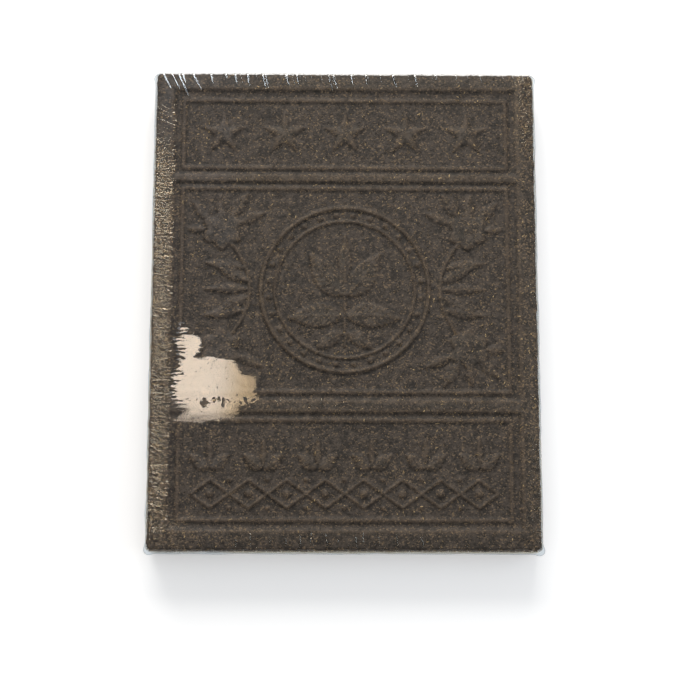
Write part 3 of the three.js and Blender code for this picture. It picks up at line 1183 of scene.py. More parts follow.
    def lift(self, place: Array, inward: float) -> tuple[Array, Array]:
        """The wrinkles' lift round one ring, each train on its own side.

        Args:
            place: The ring's points, x and y.
            inward: Distance of the ring in from the edge.

        Returns:
            Distances out of the film, in mm, and how much the film gleams there, from 0 to 1.
        """
        across, up = self.columns * self.finer, self.lines * self.finer
        sides = np.repeat([side.value for side in Side], [across, up, across, up])
        total = np.zeros(len(place))
        gleam = np.zeros(len(place))
        distance = np.full(len(place), inward)
        for train in self.trains:
            along = place[:, 0] if train.side in (Side.TOP, Side.BOTTOM) else place[:, 1]
            on_side = sides == train.side.value
            rise = train.lift(along[on_side], distance[on_side])
            total[on_side] += rise
            gleam[on_side] = np.maximum(gleam[on_side], train.gleam * smooth((rise - 0.03) / 0.1))
        return self.highest * np.tanh(total / self.highest), gleam

    def build(self) -> bpy.types.Object:
        """Makes the film as one closed mesh.

        The sheet over the face is a grid, the section is carried round it with the
        wrinkles' lift along its outward direction, and the back is a coarse grid.

        Returns:
            The object, with the attributes that looks gives, and free, how much a wrinkle gleams.
        """
        skin = Skin()
        section = self.section()
        across, up = self.columns * self.finer, self.lines * self.finer
        flat_x, flat_y = self.plan.half_x - self.band - 0.5, self.plan.half_y - self.band - 0.5
        x, y = np.meshgrid(
            np.linspace(-flat_x, flat_x, self.columns + 1), np.linspace(-flat_y, flat_y, self.lines + 1)
        )
        sheet = skin.add_grid(np.stack([x, y, self.sheet_z(x, y)], -1), upwards=True)
        free = [np.zeros(x.size)]
        previous = None
        for inset, height, out_x, out_z, inward in section:
            radius = self.plan.radius * (1.0 - min(inset / self.band, 1.0))
            place, out = self.ring(inset, radius)
            lift, gleam = self.lift(place, inward)
            level = np.full(len(place), height)
            base = self.sheet_z(place[:, 0], place[:, 1]) if out_z == 1.0 else level
            wobble = self.wobble * out_x * Noise(47).layers(place[:, 0] + place[:, 1], level, 7.0, 2)
            moved = place + out * ((lift + wobble) * out_x)[:, None]
            after = skin.add(np.column_stack([moved, base + lift * out_z]))
            free.append(gleam)
            if previous is None:
                skin.zip_out(sheet, after)
            else:
                skin.join(previous, after)
            previous = after
        back_x, back_y = np.meshgrid(
            np.linspace(-1, 1, across // self.coarser + 1) * (self.plan.half_x - self.back_inset),
            np.linspace(-1, 1, up // self.coarser + 1) * (self.plan.half_y - self.back_inset),
        )
        level = np.full(back_x.shape, self.base_z)
        back = skin.add_grid(np.stack([back_x, back_y, level], -1), upwards=False)
        skin.zip_in(previous, back)
        free.append(np.zeros(back_x.size))
        piece = skin.make("clear_film")
        set_attribute(piece, "free", np.concatenate(free))
        for name, values in self.looks(*np.concatenate(skin.points).T).items():
            set_attribute(piece, name, values)
        return piece

    def looks(self, x: Array, y: Array, z: Array) -> dict[str, Array]:
        """The film's attributes that depend on the place alone, by smooth steps over it.

        Args:
            x: Places across.
            y: Places up the face.
            z: Heights.

        Returns:
            The values by name: patch, the depth inside the taut patch; soft, 1 where the patch
            fades slowly; teeth, how far its border is ragged; veil, how far the film is dulled
            there; crumple, how crumpled the film is; and touch, 1 where a raised form of the
            face touches the film.
        """
        on_top = z > self.top_z - 1.6
        low_border = smooth((-46.0 - y) / 6.0)
        right_border = smooth((x + 58.0) / 12.0)
        left_border = smooth((-75.0 - x) / 5.0) * smooth((y + 56.0) / 6.0)
        return {
            "patch": np.where(on_top, self.patch_depth(x, y), self.beyond),
            "soft": np.maximum(low_border, 0.4 * right_border),
            "teeth": 1.0 + 3.6 * left_border,
            "veil": 0.5 * smooth((x + 68.0) / 26.0) + 0.12 * smooth((-38.0 - y) / 16.0),
            "crumple": self.design.pale_dust_and_glint(x, y) * np.where(x < 0.0, 1.0, 0.8),
            "touch": np.where(on_top, self.held_up(x, y), 0.5),
        }


@dataclass(frozen=True)
class FoldRow:
    """A row of narrow folds of the film along one side, with the spread of their sizes, in mm.

    The row is spaced evenly by chance from start to stop, or lies at the places given, each
    with its own length. Lengths are measured in from the brick's edge, and a fold starts at
    its foot, which is below 0 where it comes up the wall.
    """

    side: Side
    start: float
    stop: float
    spacing: float
    length: Pair = (3.0, 6.0)
    width: Pair = (0.2, 0.4)
    steepness: Pair = (0.3, 0.5)
    slant: Pair = (-0.06, 0.06)
    foot: Pair = (-4.0, -1.0)
    gleam: Pair = (0.75, 1.0)
    bend: float = 0.3
    places: tuple[Pair, ...] = ()

    def draw(self, rng: np.random.Generator) -> Array:
        """Draws the row's folds.

        Args:
            rng: The random draw.

        Returns:
            Rows of side, place, length, half width, steepness, slant, foot, gleam and bend.
        """
        count = len(self.places) or int((self.stop - self.start) / self.spacing)
        steps = rng.uniform(0.4, 1.6, count)
        spread = self.start + (np.cumsum(steps) - steps / 2) * (self.stop - self.start) / steps.sum()
        if self.places:
            place, length = np.array(self.places).T
        else:
            place, length = spread, rng.uniform(*self.length, count)
        spans = (self.width, self.steepness, self.slant, self.foot, self.gleam)
        sizes = [rng.uniform(*span, count) for span in spans]
        bend = rng.normal(0.0, self.bend, count)
        return np.column_stack([np.full(count, self.side.value), place, length, *sizes, bend])


@dataclass(frozen=True)
class FilmFolds:
    """The narrow folds that stand up where the film was gathered over the brick's edges.

    Each fold has so many rings of so many points, and crumpled is how crumpled the film is
    on each side, in Side's order.
    """

    wrap: ClearWrap
    seed: int = 83
    rings: int = 13
    turns: int = 8
    crumpled: tuple[float, float, float, float] = (0.3, 0.5, 0.0, 1.0)
    rows: tuple[FoldRow, ...] = (
        FoldRow(
            Side.LEFT, -110, 86, 1.25, length=(7.5, 10.8), width=(0.18, 0.36),
            steepness=(0.2, 0.9), gleam=(0.4, 0.7),
        ),
        FoldRow(
            Side.LEFT, -112, 86, 1.4, length=(3.0, 10.0), width=(0.12, 0.24),
            steepness=(0.2, 0.7), gleam=(0.4, 0.7),
        ),
        FoldRow(Side.LEFT, -104, 78, 8.6, length=(9.8, 11.4), width=(0.2, 0.28), gleam=(0.7, 0.85)),
        FoldRow(
            Side.LEFT, -112, 104, 2.1, length=(10.1, 11.2), width=(0.25, 0.5),
            foot=(8.4, 9.8), gleam=(0.5, 0.9),
        ),
        FoldRow(Side.LEFT, 84, 106, 2.6, length=(7.0, 10.6), slant=(-0.62, -0.4), gleam=(0.4, 0.85)),
        FoldRow(
            Side.LEFT, -117, -104, 2.4, length=(5.0, 11.0), slant=(0.15, 0.6),
            gleam=(0.4, 0.8), bend=1.2,
        ),
        FoldRow(Side.TOP, -64, 92, 5.2, length=(2.5, 7.0), slant=(0.1, 0.3), gleam=(0.2, 0.5)),
        FoldRow(Side.RIGHT, -101, -66, 1.3, length=(2.5, 6.5), gleam=(0.35, 0.7)),
        FoldRow(Side.RIGHT, -62, 112, 2.6, length=(1.5, 5.5), gleam=(0.3, 0.7)),
        FoldRow(Side.RIGHT, -118, -101, 2.2, length=(4.0, 9.0), slant=(0.3, 0.8), gleam=(0.4, 0.8)),
        FoldRow(Side.BOTTOM, -92, 92, 4.5, length=(1.0, 4.0), gleam=(0.3, 0.7)),
        FoldRow(
            Side.TOP, 0, 0, 0, width=(0.4, 0.55), steepness=(0.15, 0.22), slant=(0.33, 0.5),
            gleam=(0.9, 1.0),
            places=((-92.0, 9.0), (-88.0, 9.5), (-84.5, 13.0), (-82.5, 6.0), (-77.0, 9.5)),
        ),
        FoldRow(
            Side.TOP, 0, 0, 0, width=(0.34, 0.55), steepness=(0.17, 0.27), slant=(0.15, 0.32),
            gleam=(0.75, 1.0),
            places=(
                (-68, 6.5), (-60.5, 3.5), (-55.7, 6.5), (-49.5, 7.5), (-42, 9), (-40.4, 8.5),
                (-30, 7.5), (-24.5, 7), (-8.6, 9.8), (-6.2, 8.8), (3, 6.5), (10.5, 6.5), (24, 8),
                (35, 7.5), (45.5, 3.5),
            ),
        ),
        FoldRow(
            Side.BOTTOM, 0, 0, 0, width=(0.3, 0.45), steepness=(0.36, 0.46), slant=(-0.18, 0.02),
            foot=(2.0, 3.8),
            places=(
                (-52, 6), (-45, 9), (-36, 7), (-28, 6.5), (-21, 8), (-16.5, 9.5), (-8, 9), (-3, 6),
                (6, 8), (9, 9), (17, 7), (26, 8.5), (38, 7),
            ),
        ),
    )

    def build(self) -> bpy.types.Object:
        """Makes all folds as one mesh of closed slender humps.

        A fold runs along the film's section, from its foot to its length, and aside by its
        slant and a parabola. Over that path stands a tent on a flat foot, whose height is
        its steepness times its half width, and whose size is a root of the sine along it,
        with a knot near the inner end.

        Returns:
            The object.
        """
        rng = np.random.default_rng(self.seed)
        folds = np.concatenate([row.draw(rng) for row in self.rows])
        side, place, length, width, steepness, slant, foot, gleam, bend = folds.T[:, :, None]
        number = side.astype(int)
        share = np.linspace(0.0, 1.0, self.rings + 2)[None]
        run = foot + (length - foot) * share
        section = self.wrap.section()[: -self.wrap.rows_arc][::-1].T
        inset, rise, out_x, out_z = (np.interp(run, section[4], column) for column in section[:4])
        crosswise = np.array([1.0, 0.0, 1.0, 0.0])[number]
        outward = np.array([-1.0, 1.0, 1.0, -1.0])[number]
        half = np.where(crosswise == 1.0, self.wrap.plan.half_y, self.wrap.plan.half_x)
        aside = place + slant * run + bend * (run / 8.0) ** 2
        away = outward * (half - inset)
        x, y = np.where(crosswise == 1.0, aside, away), np.where(crosswise == 1.0, away, aside)
        middle = np.stack([x, y, rise], -1)
        normal = np.stack([(1 - crosswise) * outward * out_x, crosswise * outward * out_x, out_z], -1)
        hand = -outward * np.where(crosswise == 1.0, 1.0, -1.0)
        lateral = np.stack([crosswise * hand, (1 - crosswise) * hand, np.zeros(side.shape)], -1)
        swell = np.sin(math.pi * share) ** 0.45 * (1 + 0.5 * np.exp(-(((share - 0.92) / 0.05) ** 2)))
        turn = np.arange(self.turns) * 2 * math.pi / self.turns
        up = np.where(np.sin(turn) > 0, 1 - np.abs(np.cos(turn)), 0.2 * np.sin(turn))
        size = (width * swell)[:, 1:-1, None, None]
        body = (
            middle[:, 1:-1, None]
            + lateral[:, :, None] * size * np.cos(turn)[:, None]
            + normal[:, 1:-1, None] * size * steepness[..., None, None] * up[:, None]
        )
        count, each = len(folds), self.rings * self.turns + 2
        points = np.concatenate([body.reshape(count, -1, 3), middle[:, :1], middle[:, -1:]], 1)
        numbers = np.arange(self.rings * self.turns).reshape(self.rings, self.turns)
        beside = np.roll(numbers, -1, axis=1)
        quads = np.stack([numbers[:-1], numbers[1:], beside[1:], beside[:-1]], -1).reshape(-1, 4)
        first = np.stack([np.full(self.turns, each - 2), numbers[0], beside[0]], 1)
        last = np.stack([np.full(self.turns, each - 1), beside[-1], numbers[-1]], 1)
        shift = (np.arange(count) * each)[:, None, None]
        piece = make_object(
            "film_folds",
            points.reshape(-1, 3) * MM,
            (quads[None] + shift).reshape(-1, 4),
            (np.concatenate([first, last])[None] + shift).reshape(-1, 3),
        )
        set_attribute(piece, "free", np.repeat(gleam, each))
        set_attribute(piece, "crumple", np.repeat(np.array(self.crumpled)[number], each))
        return piece


@dataclass(frozen=True)
class FilmSeam:
    """The welded seam of the film round the walls: a thin fin, with ears at the corners."""

    plan: Block
    z: float
    width: float = 0.95
    ear: float = 1.2
    ear_reach: float = 2.6
    thickness: float = 0.12
    steps: int = 1400

    def build(self) -> bpy.types.Object:
        """Makes the fin: a flat oval section carried round the plan, wider at the corners.

        The height waves by noise along the path, and the width adds a bell over the
        distance to the nearest corner.

        Returns:
            The object.
        """
        half_x, half_y = self.plan.half_x, self.plan.half_y
        perimeter = 4 * (half_x + half_y)
        run = np.arange(self.steps) * perimeter / self.steps
        stops = np.cumsum([0, 2 * half_x, 2 * half_y, 2 * half_x, 2 * half_y])
        x = np.interp(run, stops, [-half_x, half_x, half_x, -half_x, -half_x])
        y = np.interp(run, stops, [-half_y, -half_y, half_y, half_y, -half_y])
        to_corner = np.min(np.abs(run[:, None] - stops[None]), axis=1)
        x, y = self.plan.fold_corners(x, y)
        out = self.plan.outward(x, y)
        wave = Noise(53).layers(run, np.zeros(len(run)), 11.0, 2)
        reach = self.width * (1 + 0.25 * wave) + self.ear * np.exp(-((to_corner / self.ear_reach) ** 2))
        height = self.z + 0.5 * wave + 0.25 * Noise(59).layers(run, np.zeros(len(run)), 3.0, 1)
        section = np.array([[-0.35, 0.0], [0.0, 0.6], [0.6, 0.5], [1.0, 0.0], [0.6, -0.5], [0.0, -0.6]])
        plan = np.stack([x, y], 1)[:, None] + out[:, None] * (section[None, :, :1] * reach[:, None, None])
        rise = height[:, None] + section[None, :, 1] * self.thickness
        points = np.concatenate([plan, rise[..., None]], -1)
        numbers = np.arange(points.shape[0] * points.shape[1]).reshape(points.shape[:2])
        onward = np.roll(numbers, -1, axis=0)
        quads = np.stack(
            [numbers, onward, np.roll(onward, -1, axis=1), np.roll(numbers, -1, axis=1)], -1
        ).reshape(-1, 4)
        return make_object("film_seam", points.reshape(-1, 3) * MM, quads, np.zeros((0, 3), int))


class Graph:
    """The nodes of one material, with short ways to add and link them."""

    def __init__(self, name: str) -> None:
        """Starts an empty material with an output node.

        Args:
            name: The material's name.
        """
        self.material = bpy.data.materials.new(name)
        self.material.use_nodes = True
        self.tree = self.material.node_tree
        self.tree.nodes.clear()
        self.output = self.tree.nodes.new("ShaderNodeOutputMaterial")

    def add(self, kind: str, settings: dict[str, object] | None = None, **inputs: object) -> bpy.types.Node:
        """Adds a node.

        Args:
            kind: The node's type.
            settings: Its properties.
            **inputs: Its sockets by name, with _ for a space: a value, or a socket to link.

        Returns:
            The node.
        """
        node = self.tree.nodes.new(kind)
        for name, value in (settings or {}).items():
            setattr(node, name, value)
        for name, value in inputs.items():
            self.fill(node.inputs[name.replace("_", " ")], value)
        return node

    def fill(self, socket: Socket, value: object) -> None:
        """Links a socket, or sets its value.

        Args:
            socket: The input.
            value: Another node's output, or a value.
        """
        if isinstance(value, Socket):
            self.tree.links.new(value, socket)
        else:
            socket.default_value = value

    def feed(self, node: bpy.types.Node, *values: object) -> bpy.types.Node:
        """Fills a node's first sockets in order.

        Args:
            node: The node.
            *values: A value or another node's output for each socket.

        Returns:
            The node.
        """
        for socket, value in zip(node.inputs, values):
            self.fill(socket, value)
        return node

    def math(self, operation: str, *values: object, clamp: bool = False) -> Socket:
        """A math node's result.

        Args:
            operation: The operation's name.
            *values: Its inputs in order.
            clamp: True to hold the result from 0 to 1.

        Returns:
            The output socket.
        """
        node = self.add("ShaderNodeMath", {"operation": operation, "use_clamp": clamp})
        return self.feed(node, *values).outputs[0]

    def plus(self, first: object, second: object, clamp: bool = False) -> Socket:
        """The sum of two values."""
        return self.math("ADD", first, second, clamp=clamp)

    def times(self, first: object, second: object) -> Socket:
        """The product of two values."""
        return self.math("MULTIPLY", first, second)

    def larger(self, first: object, second: object) -> Socket:
        """The larger of two values."""
        return self.math("MAXIMUM", first, second)

    def rest(self, value: object) -> Socket:
        """What is left of 1 when a value is taken off."""
        return self.math("SUBTRACT", 1.0, value)

    def bump(self, heights: Socket, strength: float, distance: float) -> Socket:
        """The direction of a surface that heights raise, in steps of a distance in metres."""
        return self.add("ShaderNodeBump", Strength=strength, Distance=distance, Height=heights).outputs[0]

    def matt(self, colour: Socket, roughness: object, specular: float, normal: Socket) -> Socket:
        """A surface without metal.

        Args:
            colour: Its colour.
            roughness: Its roughness, a value or an output.
            specular: Its specular level.
            normal: Its bumped direction.

        Returns:
            The shader's output.
        """
        kind = "ShaderNodeBsdfPrincipled"
        surface = self.add(kind, Base_Color=colour, Roughness=roughness, Normal=normal)
        surface.inputs["Specular IOR Level"].default_value = specular
        return surface.outputs[0]

    def place(self, scale: tuple[float, float, float] = (1, 1, 1)) -> Socket:
        """Object coordinates, scaled by a Mapping node."""
        coordinates = self.add("ShaderNodeTexCoord").outputs["Object"]
        return self.add("ShaderNodeMapping", Vector=coordinates, Scale=scale).outputs[0]

    def noise(self, scale: float, detail: float = 3.0) -> Socket:
        """A noise texture's value, its scale in lumps for each metre."""
        return self.add("ShaderNodeTexNoise", Vector=self.place(), Scale=scale, Detail=detail).outputs[0]

    def drawn_noise(self, scale: tuple[float, float, float], detail: float) -> Socket:
        """A noise texture's value, with its own scale along each axis."""
        return self.add("ShaderNodeTexNoise", Vector=self.place(scale), Scale=1.0, Detail=detail).outputs[0]

    def axis(self, index: int) -> Socket:
        """One part of the Object coordinates: 0 for x, 1 for y and 2 for z."""
        return self.add("ShaderNodeSeparateXYZ", Vector=self.place()).outputs[index]

    def grain(self, cells: bpy.types.Node) -> Socket:
        """A random number for each cell of a Voronoi texture."""
        return self.add("ShaderNodeSeparateColor", Color=cells.outputs["Color"]).outputs[0]

    def range(self, value: object, low: float, high: float, to: Pair = (0.0, 1.0)) -> Socket:
        """Maps a value from a range to another, held at its ends, by a smooth step."""
        node = self.add("ShaderNodeMapRange", {"interpolation_type": "SMOOTHSTEP"})
        for name, number in (("From Min", low), ("From Max", high), ("To Min", to[0]), ("To Max", to[1])):
            node.inputs[name].default_value = number
        self.fill(node.inputs["Value"], value)
        return node.outputs[0]

    def mix(self, share: object, first: object, second: object) -> Socket:
        """A colour between two, by a share from 0 to 1."""
        node = self.add("ShaderNodeMix", {"data_type": "RGBA", "clamp_factor": True})
        for socket, value in ((node.inputs[0], share), (node.inputs[6], first), (node.inputs[7], second)):
            self.fill(socket, value)
        return node.outputs[2]

    def attribute(self, name: str) -> Socket:
        """The number that a mesh stores under a name."""
        return self.add("ShaderNodeAttribute", {"attribute_name": name}).outputs["Fac"]

    def finish(self, shader: Socket) -> bpy.types.Material:
        """Links the shader to the output.

        Args:
            shader: The finished surface.

        Returns:
            The material.
        """
        self.tree.links.new(shader, self.output.inputs["Surface"])
        return self.material


@dataclass(frozen=True)
class TeaFinish:
    """Pressed leaf dust: fine dark grains with browner and paler ones, matt, with painted shade in hollows
    and a painted brown highlight on crests.

    Scales are in lumps for each metre, shares run from 0 to 1, and sway and relief are in metres.
    """

    dark: Colour = (0.026, 0.0205, 0.0162, 1)
    middle: Colour = (0.09, 0.068, 0.052, 1)
    # brown: the colour of the painted highlight on crests.
    brown: Colour = (0.13, 0.084, 0.05, 1)
    pale: Colour = (0.23, 0.155, 0.088, 1)
    grain_scale: float = 1350.0
    fine_scale: float = 2600.0
    patch_scale: float = 300.0
    sway_scale: float = 260.0
    sway: float = 0.0028
    relief: float = 0.00018
    grain_share: float = 0.44
    patch_tones: Pair = (0.18, 0.46)
    speck_share: float = 0.62
    crest_highlight_share: float = 0.28
    # Share of the painted shade in hollows.
    hollow_shade_share: float = 0.18
    roughness: Pair = (0.5, 0.8)

    def make(self) -> bpy.types.Material:
        """Builds the material.

        Returns:
            The material.
        """
        graph = Graph("pressed_tea")
        wander = graph.add("ShaderNodeTexNoise", Vector=graph.place(), Scale=self.sway_scale, Detail=2.0)
        ways = wander.outputs["Color"]
        sideways = graph.add("ShaderNodeVectorMath", {"operation": "SCALE"}, Vector=ways, Scale=self.sway)
        warped = graph.add("ShaderNodeVectorMath", {"operation": "ADD"})
        graph.feed(warped, graph.place((1.0, 1.2, 1.0)), sideways.outputs[0])
        cells = graph.add(
            "ShaderNodeTexVoronoi", Vector=warped.outputs[0], Scale=self.grain_scale, Randomness=1.0
        )
        grain = graph.grain(cells)
        patches = graph.range(graph.noise(self.patch_scale, 4.0), 0.36, 0.64, self.patch_tones)
        fine = graph.noise(self.fine_scale, 2.0)
        # The pale attribute lifts the tone and brings out pale specks: golden dust, and along the left rim
        # a painted highlight for the film's glints.
        pale = graph.attribute("pale")
        tone = graph.plus(graph.times(grain, self.grain_share), patches)
        tone = graph.plus(tone, graph.times(pale, 0.07))
        colour = graph.mix(graph.range(tone, 0.2, 0.9), self.dark, self.middle)
        speck = graph.range(graph.plus(grain, graph.times(pale, 0.2)), 0.84, 0.98)
        colour = graph.mix(graph.times(speck, self.speck_share), colour, self.pale)
        # Painted highlight: ridges, where the face stands above the mean round it, turn towards brown as
        # lit crests would.
        crest = graph.range(graph.attribute("hollow"), -0.3, -0.06, (self.crest_highlight_share, 0.0))
        colour = graph.mix(crest, colour, self.brown)
        # Painted shade: the colour turns towards the dark tone where the face lies below the mean round it,
        # in hollows and grooves.
        hollow = graph.range(graph.attribute("hollow"), -0.1, 0.5)
        colour = graph.mix(graph.times(hollow, self.hollow_shade_share), colour, self.dark)
        domes = graph.times(cells.outputs["Distance"], -0.8)
        heights = graph.plus(domes, graph.times(fine, 0.5))
        rough = graph.range(fine, 0.3, 0.7, self.roughness)
        surface = graph.matt(colour, rough, 0.3, graph.bump(heights, 0.6, self.relief))
        return graph.finish(surface)


@dataclass(frozen=True)
class BitFinish:
    """The bits' finish: each bit has its own shade between two colours, and fine streaks."""

    name: str
    dark: Colour
    pale: Colour
    roughness: float = 0.6
    streak_scale: float = 1400.0
    relief_scale: float = 2400.0
    relief: float = 0.0001

    def make(self) -> bpy.types.Material:
        """Builds the material.

        Returns:
            The material.
        """
        graph = Graph(self.name)
        streaks = graph.noise(self.streak_scale, 2.0)
        share = graph.plus(graph.times(graph.attribute("shade"), 0.8), graph.times(streaks, 0.3))
        colour = graph.mix(graph.range(share, 0.1, 1.0), self.dark, self.pale)
        normal = graph.bump(graph.noise(self.relief_scale, 2.0), 0.3, self.relief)
        return graph.finish(graph.matt(colour, self.roughness, 0.35, normal))


@dataclass(frozen=True)
class FilmFinish:
    """Clear shrink film: it lets the tea show, and mirrors where it stands clear of the tea.

    The tint is of what shows through, and dusty and tan are of what mirrors on the crumpled
    rims and in the taut patch. Gloss and clinging are the roughness of free film and of film
    on the tea. Mirror is how strongly free film mirrors for a single face of it, folded how
    many times more a fold does, and the shares are of that. Places are in metres.
    """

    name: str = "clear_film"
    tint: Colour = (0.97, 0.97, 0.965, 1)
    dusty: Colour = (0.88, 0.775, 0.61, 1)
    tan: Colour = (1.0, 0.87, 0.62, 1)
    white: Colour = (1, 1, 1, 1)
    gloss: float = 0.05
    clinging: float = 0.5
    mirror: float = 1.9
    face_share: float = 0.04
    hazy_share: Pair = (0.028, 0.168)
    crumple_share: float = 0.5
    crumple_height: float = 0.9
    blister_height: float = 0.22
    wave_height: float = 0.02
    crinkle_height: float = 0.06
    folded: float = 2.0
    grazing_share: float = 0.55
    border_width: Pair = (0.9, 8.0)
    teeth_scale: tuple[float, float, float] = (150.0, 700.0, 1.0)
    spot_scale: tuple[float, float, float] = (700.0, 520.0, 1.0)
    stroke_scale: tuple[float, float, float] = (380.0, 820.0, 400.0)
    blister_shape: tuple[float, float, float] = (1.15, 0.6, 1.0)
    blister_scale: float = 400.0
    blister_row: float = -0.0484
    row_middle: float = -0.035
    cluster: tuple[float, float, float] = (-0.0685, -0.0486, 0.02)

    def tautness(self, graph: Graph) -> Socket:
        """How taut the film is: 1 in the patch, whose border is ragged or fades slowly.

        The depth inside the patch is moved by noise that is drawn out across the face,
        times the teeth attribute, and divided by the width over which the border fades.
        Specks of the same noise stay dull, and the veil attribute dulls the rest evenly.

        Args:
            graph: The material's nodes.

        Returns:
            The share.
        """
        teeth = graph.range(graph.drawn_noise(self.teeth_scale, 2.0), 0.34, 0.58, (-1.0, 0.5))
        ragged = graph.times(teeth, graph.attribute("teeth"))
        depth = graph.plus(graph.attribute("patch"), ragged)
        width = graph.range(graph.attribute("soft"), 0.0, 1.0, self.border_width)
        inside = graph.math("DIVIDE", depth, width, clamp=True)
        specks = graph.range(graph.noise(460.0, 1.0), 0.225, 0.245)
        clean = graph.rest(graph.attribute("veil"))
        return graph.times(graph.times(inside, specks), clean)

    def along_row(self, graph: Graph, reach: float) -> Socket:
        """1 on the row where the film crosses the lower bar, 0 from a reach in metres off it."""
        off_row = graph.math("ABSOLUTE", graph.math("SUBTRACT", graph.axis(1), self.blister_row))
        return graph.range(off_row, 0.0012, reach, (1.0, 0.0))

    def holes(self, graph: Graph) -> Socket:
        """Dull spots in the taut patch: a cluster, and small ones along the lower bar.

        Noise that passes a limit makes a spot, and it is lifted in the cluster and the row.

        Args:
            graph: The material's nodes.

        Returns:
            1 in a spot, 0 beside it.
        """
        onward = graph.range(graph.axis(0), -0.064, -0.046, (0.06, 0.15))
        row = graph.times(self.along_row(graph, 0.0026), onward)
        gap = graph.add("ShaderNodeVectorMath", {"operation": "DISTANCE"})
        graph.feed(gap, graph.place(), self.cluster)
        cluster = graph.range(gap.outputs["Value"], 0.0014, 0.003, (0.3, 0.0))
        spots = graph.drawn_noise(self.spot_scale, 1.0)
        lifted = graph.plus(spots, graph.larger(row, cluster))
        return graph.range(lifted, 0.7, 0.73)

    def blisters(self, graph: Graph) -> Socket:
        """Domes of small blisters in a row where the film crosses the lower bar.

        Args:
            graph: The material's nodes.

        Returns:
            Their height, from 0 to 1.
        """
        row = self.along_row(graph, 0.0028)
        ends = graph.math("ABSOLUTE", graph.math("SUBTRACT", graph.axis(0), self.row_middle))
        span = graph.range(ends, 0.037, 0.041, (1.0, 0.0))
        place = graph.place(self.blister_shape)
        flat = {"voronoi_dimensions": "2D"}
        cells = graph.add("ShaderNodeTexVoronoi", flat, Vector=place, Scale=self.blister_scale)
        wander = graph.range(graph.noise(900.0), 0.3, 0.7, (-0.1, 0.1))
        dome = graph.range(graph.plus(cells.outputs["Distance"], wander), 0.06, 0.42, (1.0, 0.0))
        kept = graph.times(dome, graph.range(graph.grain(cells), 0.5, 0.58))
        return graph.times(kept, graph.times(row, span))

    def smoothness(self, graph: Graph, blister: Socket) -> Socket:
        """How smooth the film is: 1 where it is free, 0 where it lies close on the tea.

        It is the largest of its tautness less the holes, the free attribute of wrinkles and
        folds, the blisters, and a share of the crumple attribute.

        Args:
            graph: The material's nodes.
            blister: The blisters' height.

        Returns:
            The share.
        """
        taut = graph.times(self.tautness(graph), graph.rest(self.holes(graph)))
        most = graph.larger(taut, graph.attribute("free"))
        most = graph.larger(most, graph.range(blister, 0.02, 0.12))
        return graph.larger(most, graph.times(graph.attribute("crumple"), self.crumple_share))

    def heights(self, graph: Graph, blister: Socket, smoothness: Socket) -> Socket:
        """The film's small relief in mm.

        It is slow waves, a fine crinkle where the film clings, strokes drawn out across the
        crumpled rims, and the blisters.

        Args:
            graph: The material's nodes.
            blister: The blisters' height, from 0 to 1.
            smoothness: How smooth the film is.

        Returns:
            The heights.
        """
        strokes = graph.drawn_noise(self.stroke_scale, 1.5)
        strokes = graph.times(strokes, graph.times(graph.attribute("crumple"), self.crumple_height))
        crinkle = graph.times(graph.noise(900.0, 2.0), graph.rest(smoothness))
        heights = graph.times(graph.noise(150.0, 2.0), self.wave_height)
        heights = graph.plus(heights, graph.times(crinkle, self.crinkle_height))
        return graph.plus(graph.plus(heights, strokes), graph.times(blister, self.blister_height))

    def make(self) -> bpy.types.Material:
        """Builds the material.

        The share that mirrors is the Fresnel share of both faces of the film: a share of the
        strength at every angle, and the fifth power of the slant of the view. The film is
        smooth in the taut patch, on wrinkles, folds and blisters, and half smooth on the
        crumpled rims. It is rough where it clings to the tea, where it shows more on the
        raised forms that it touches. The flanks of blisters mirror nothing.

        Returns:
            The material.
        """
        graph = Graph(self.name)
        blister = self.blisters(graph)
        smoothness = self.smoothness(graph, blister)
        held = graph.range(graph.noise(140.0), 0.35, 0.62, (0.3, 1.0))
        touch = graph.times(graph.attribute("touch"), held)
        rough = graph.range(graph.larger(smoothness, graph.times(touch, 0.2)), 0.02, 0.4)
        rough = graph.range(rough, 0.0, 1.0, (self.clinging, self.gloss))
        normal = graph.bump(self.heights(graph, blister, smoothness), 1.0, MM)
        hazy = graph.range(touch, 0.0, 1.0, self.hazy_share)
        doubled = graph.range(graph.attribute("free"), 0.5, 1.0, (self.mirror, self.mirror * self.folded))
        strength = graph.times(graph.larger(hazy, smoothness), doubled)
        crown = graph.range(blister, 0.8, 0.95, (1.0, 0.0))
        flank = graph.times(graph.range(blister, 0.03, 0.2), crown)
        strength = graph.times(strength, graph.rest(flank))
        facing = graph.add("ShaderNodeLayerWeight", Blend=0.5).outputs["Facing"]
        steep = graph.larger(strength, self.grazing_share)
        grazing = graph.times(graph.math("POWER", facing, 5.0), steep)
        share = graph.plus(graph.times(strength, self.face_share), grazing, clamp=True)
        clear = graph.add("ShaderNodeBsdfTransparent", Color=self.tint)
        colour = graph.mix(graph.range(graph.attribute("crumple"), 0.0, 0.5), self.white, self.dusty)
        colour = graph.mix(graph.range(graph.attribute("veil"), 0.05, 0.55), colour, self.tan)
        shine = graph.add("ShaderNodeBsdfPrincipled", Base_Color=colour, Roughness=rough, Normal=normal)
        shine.inputs["Metallic"].default_value = 1.0
        blend = graph.add("ShaderNodeMixShader")
        graph.feed(blend, share, clear.outputs[0], shine.outputs[0])
        return graph.finish(blend.outputs[0])


@dataclass(frozen=True)
class FloorFinish:
    """A plain pale floor, bright enough to come out white."""

    colour: Colour = (0.9, 0.9, 0.9, 1)
    glow: float = 0.3

    def make(self) -> bpy.types.Material:
        """Builds the material.

        Returns:
            The material.
        """
        graph = Graph("floor")
        surface = graph.add("ShaderNodeBsdfPrincipled", Base_Color=self.colour, Roughness=0.9)
        surface.inputs["Specular IOR Level"].default_value = 0.0
        surface.inputs["Emission Color"].default_value = (1, 1, 1, 1)
        surface.inputs["Emission Strength"].default_value = self.glow
        return graph.finish(surface.outputs[0])


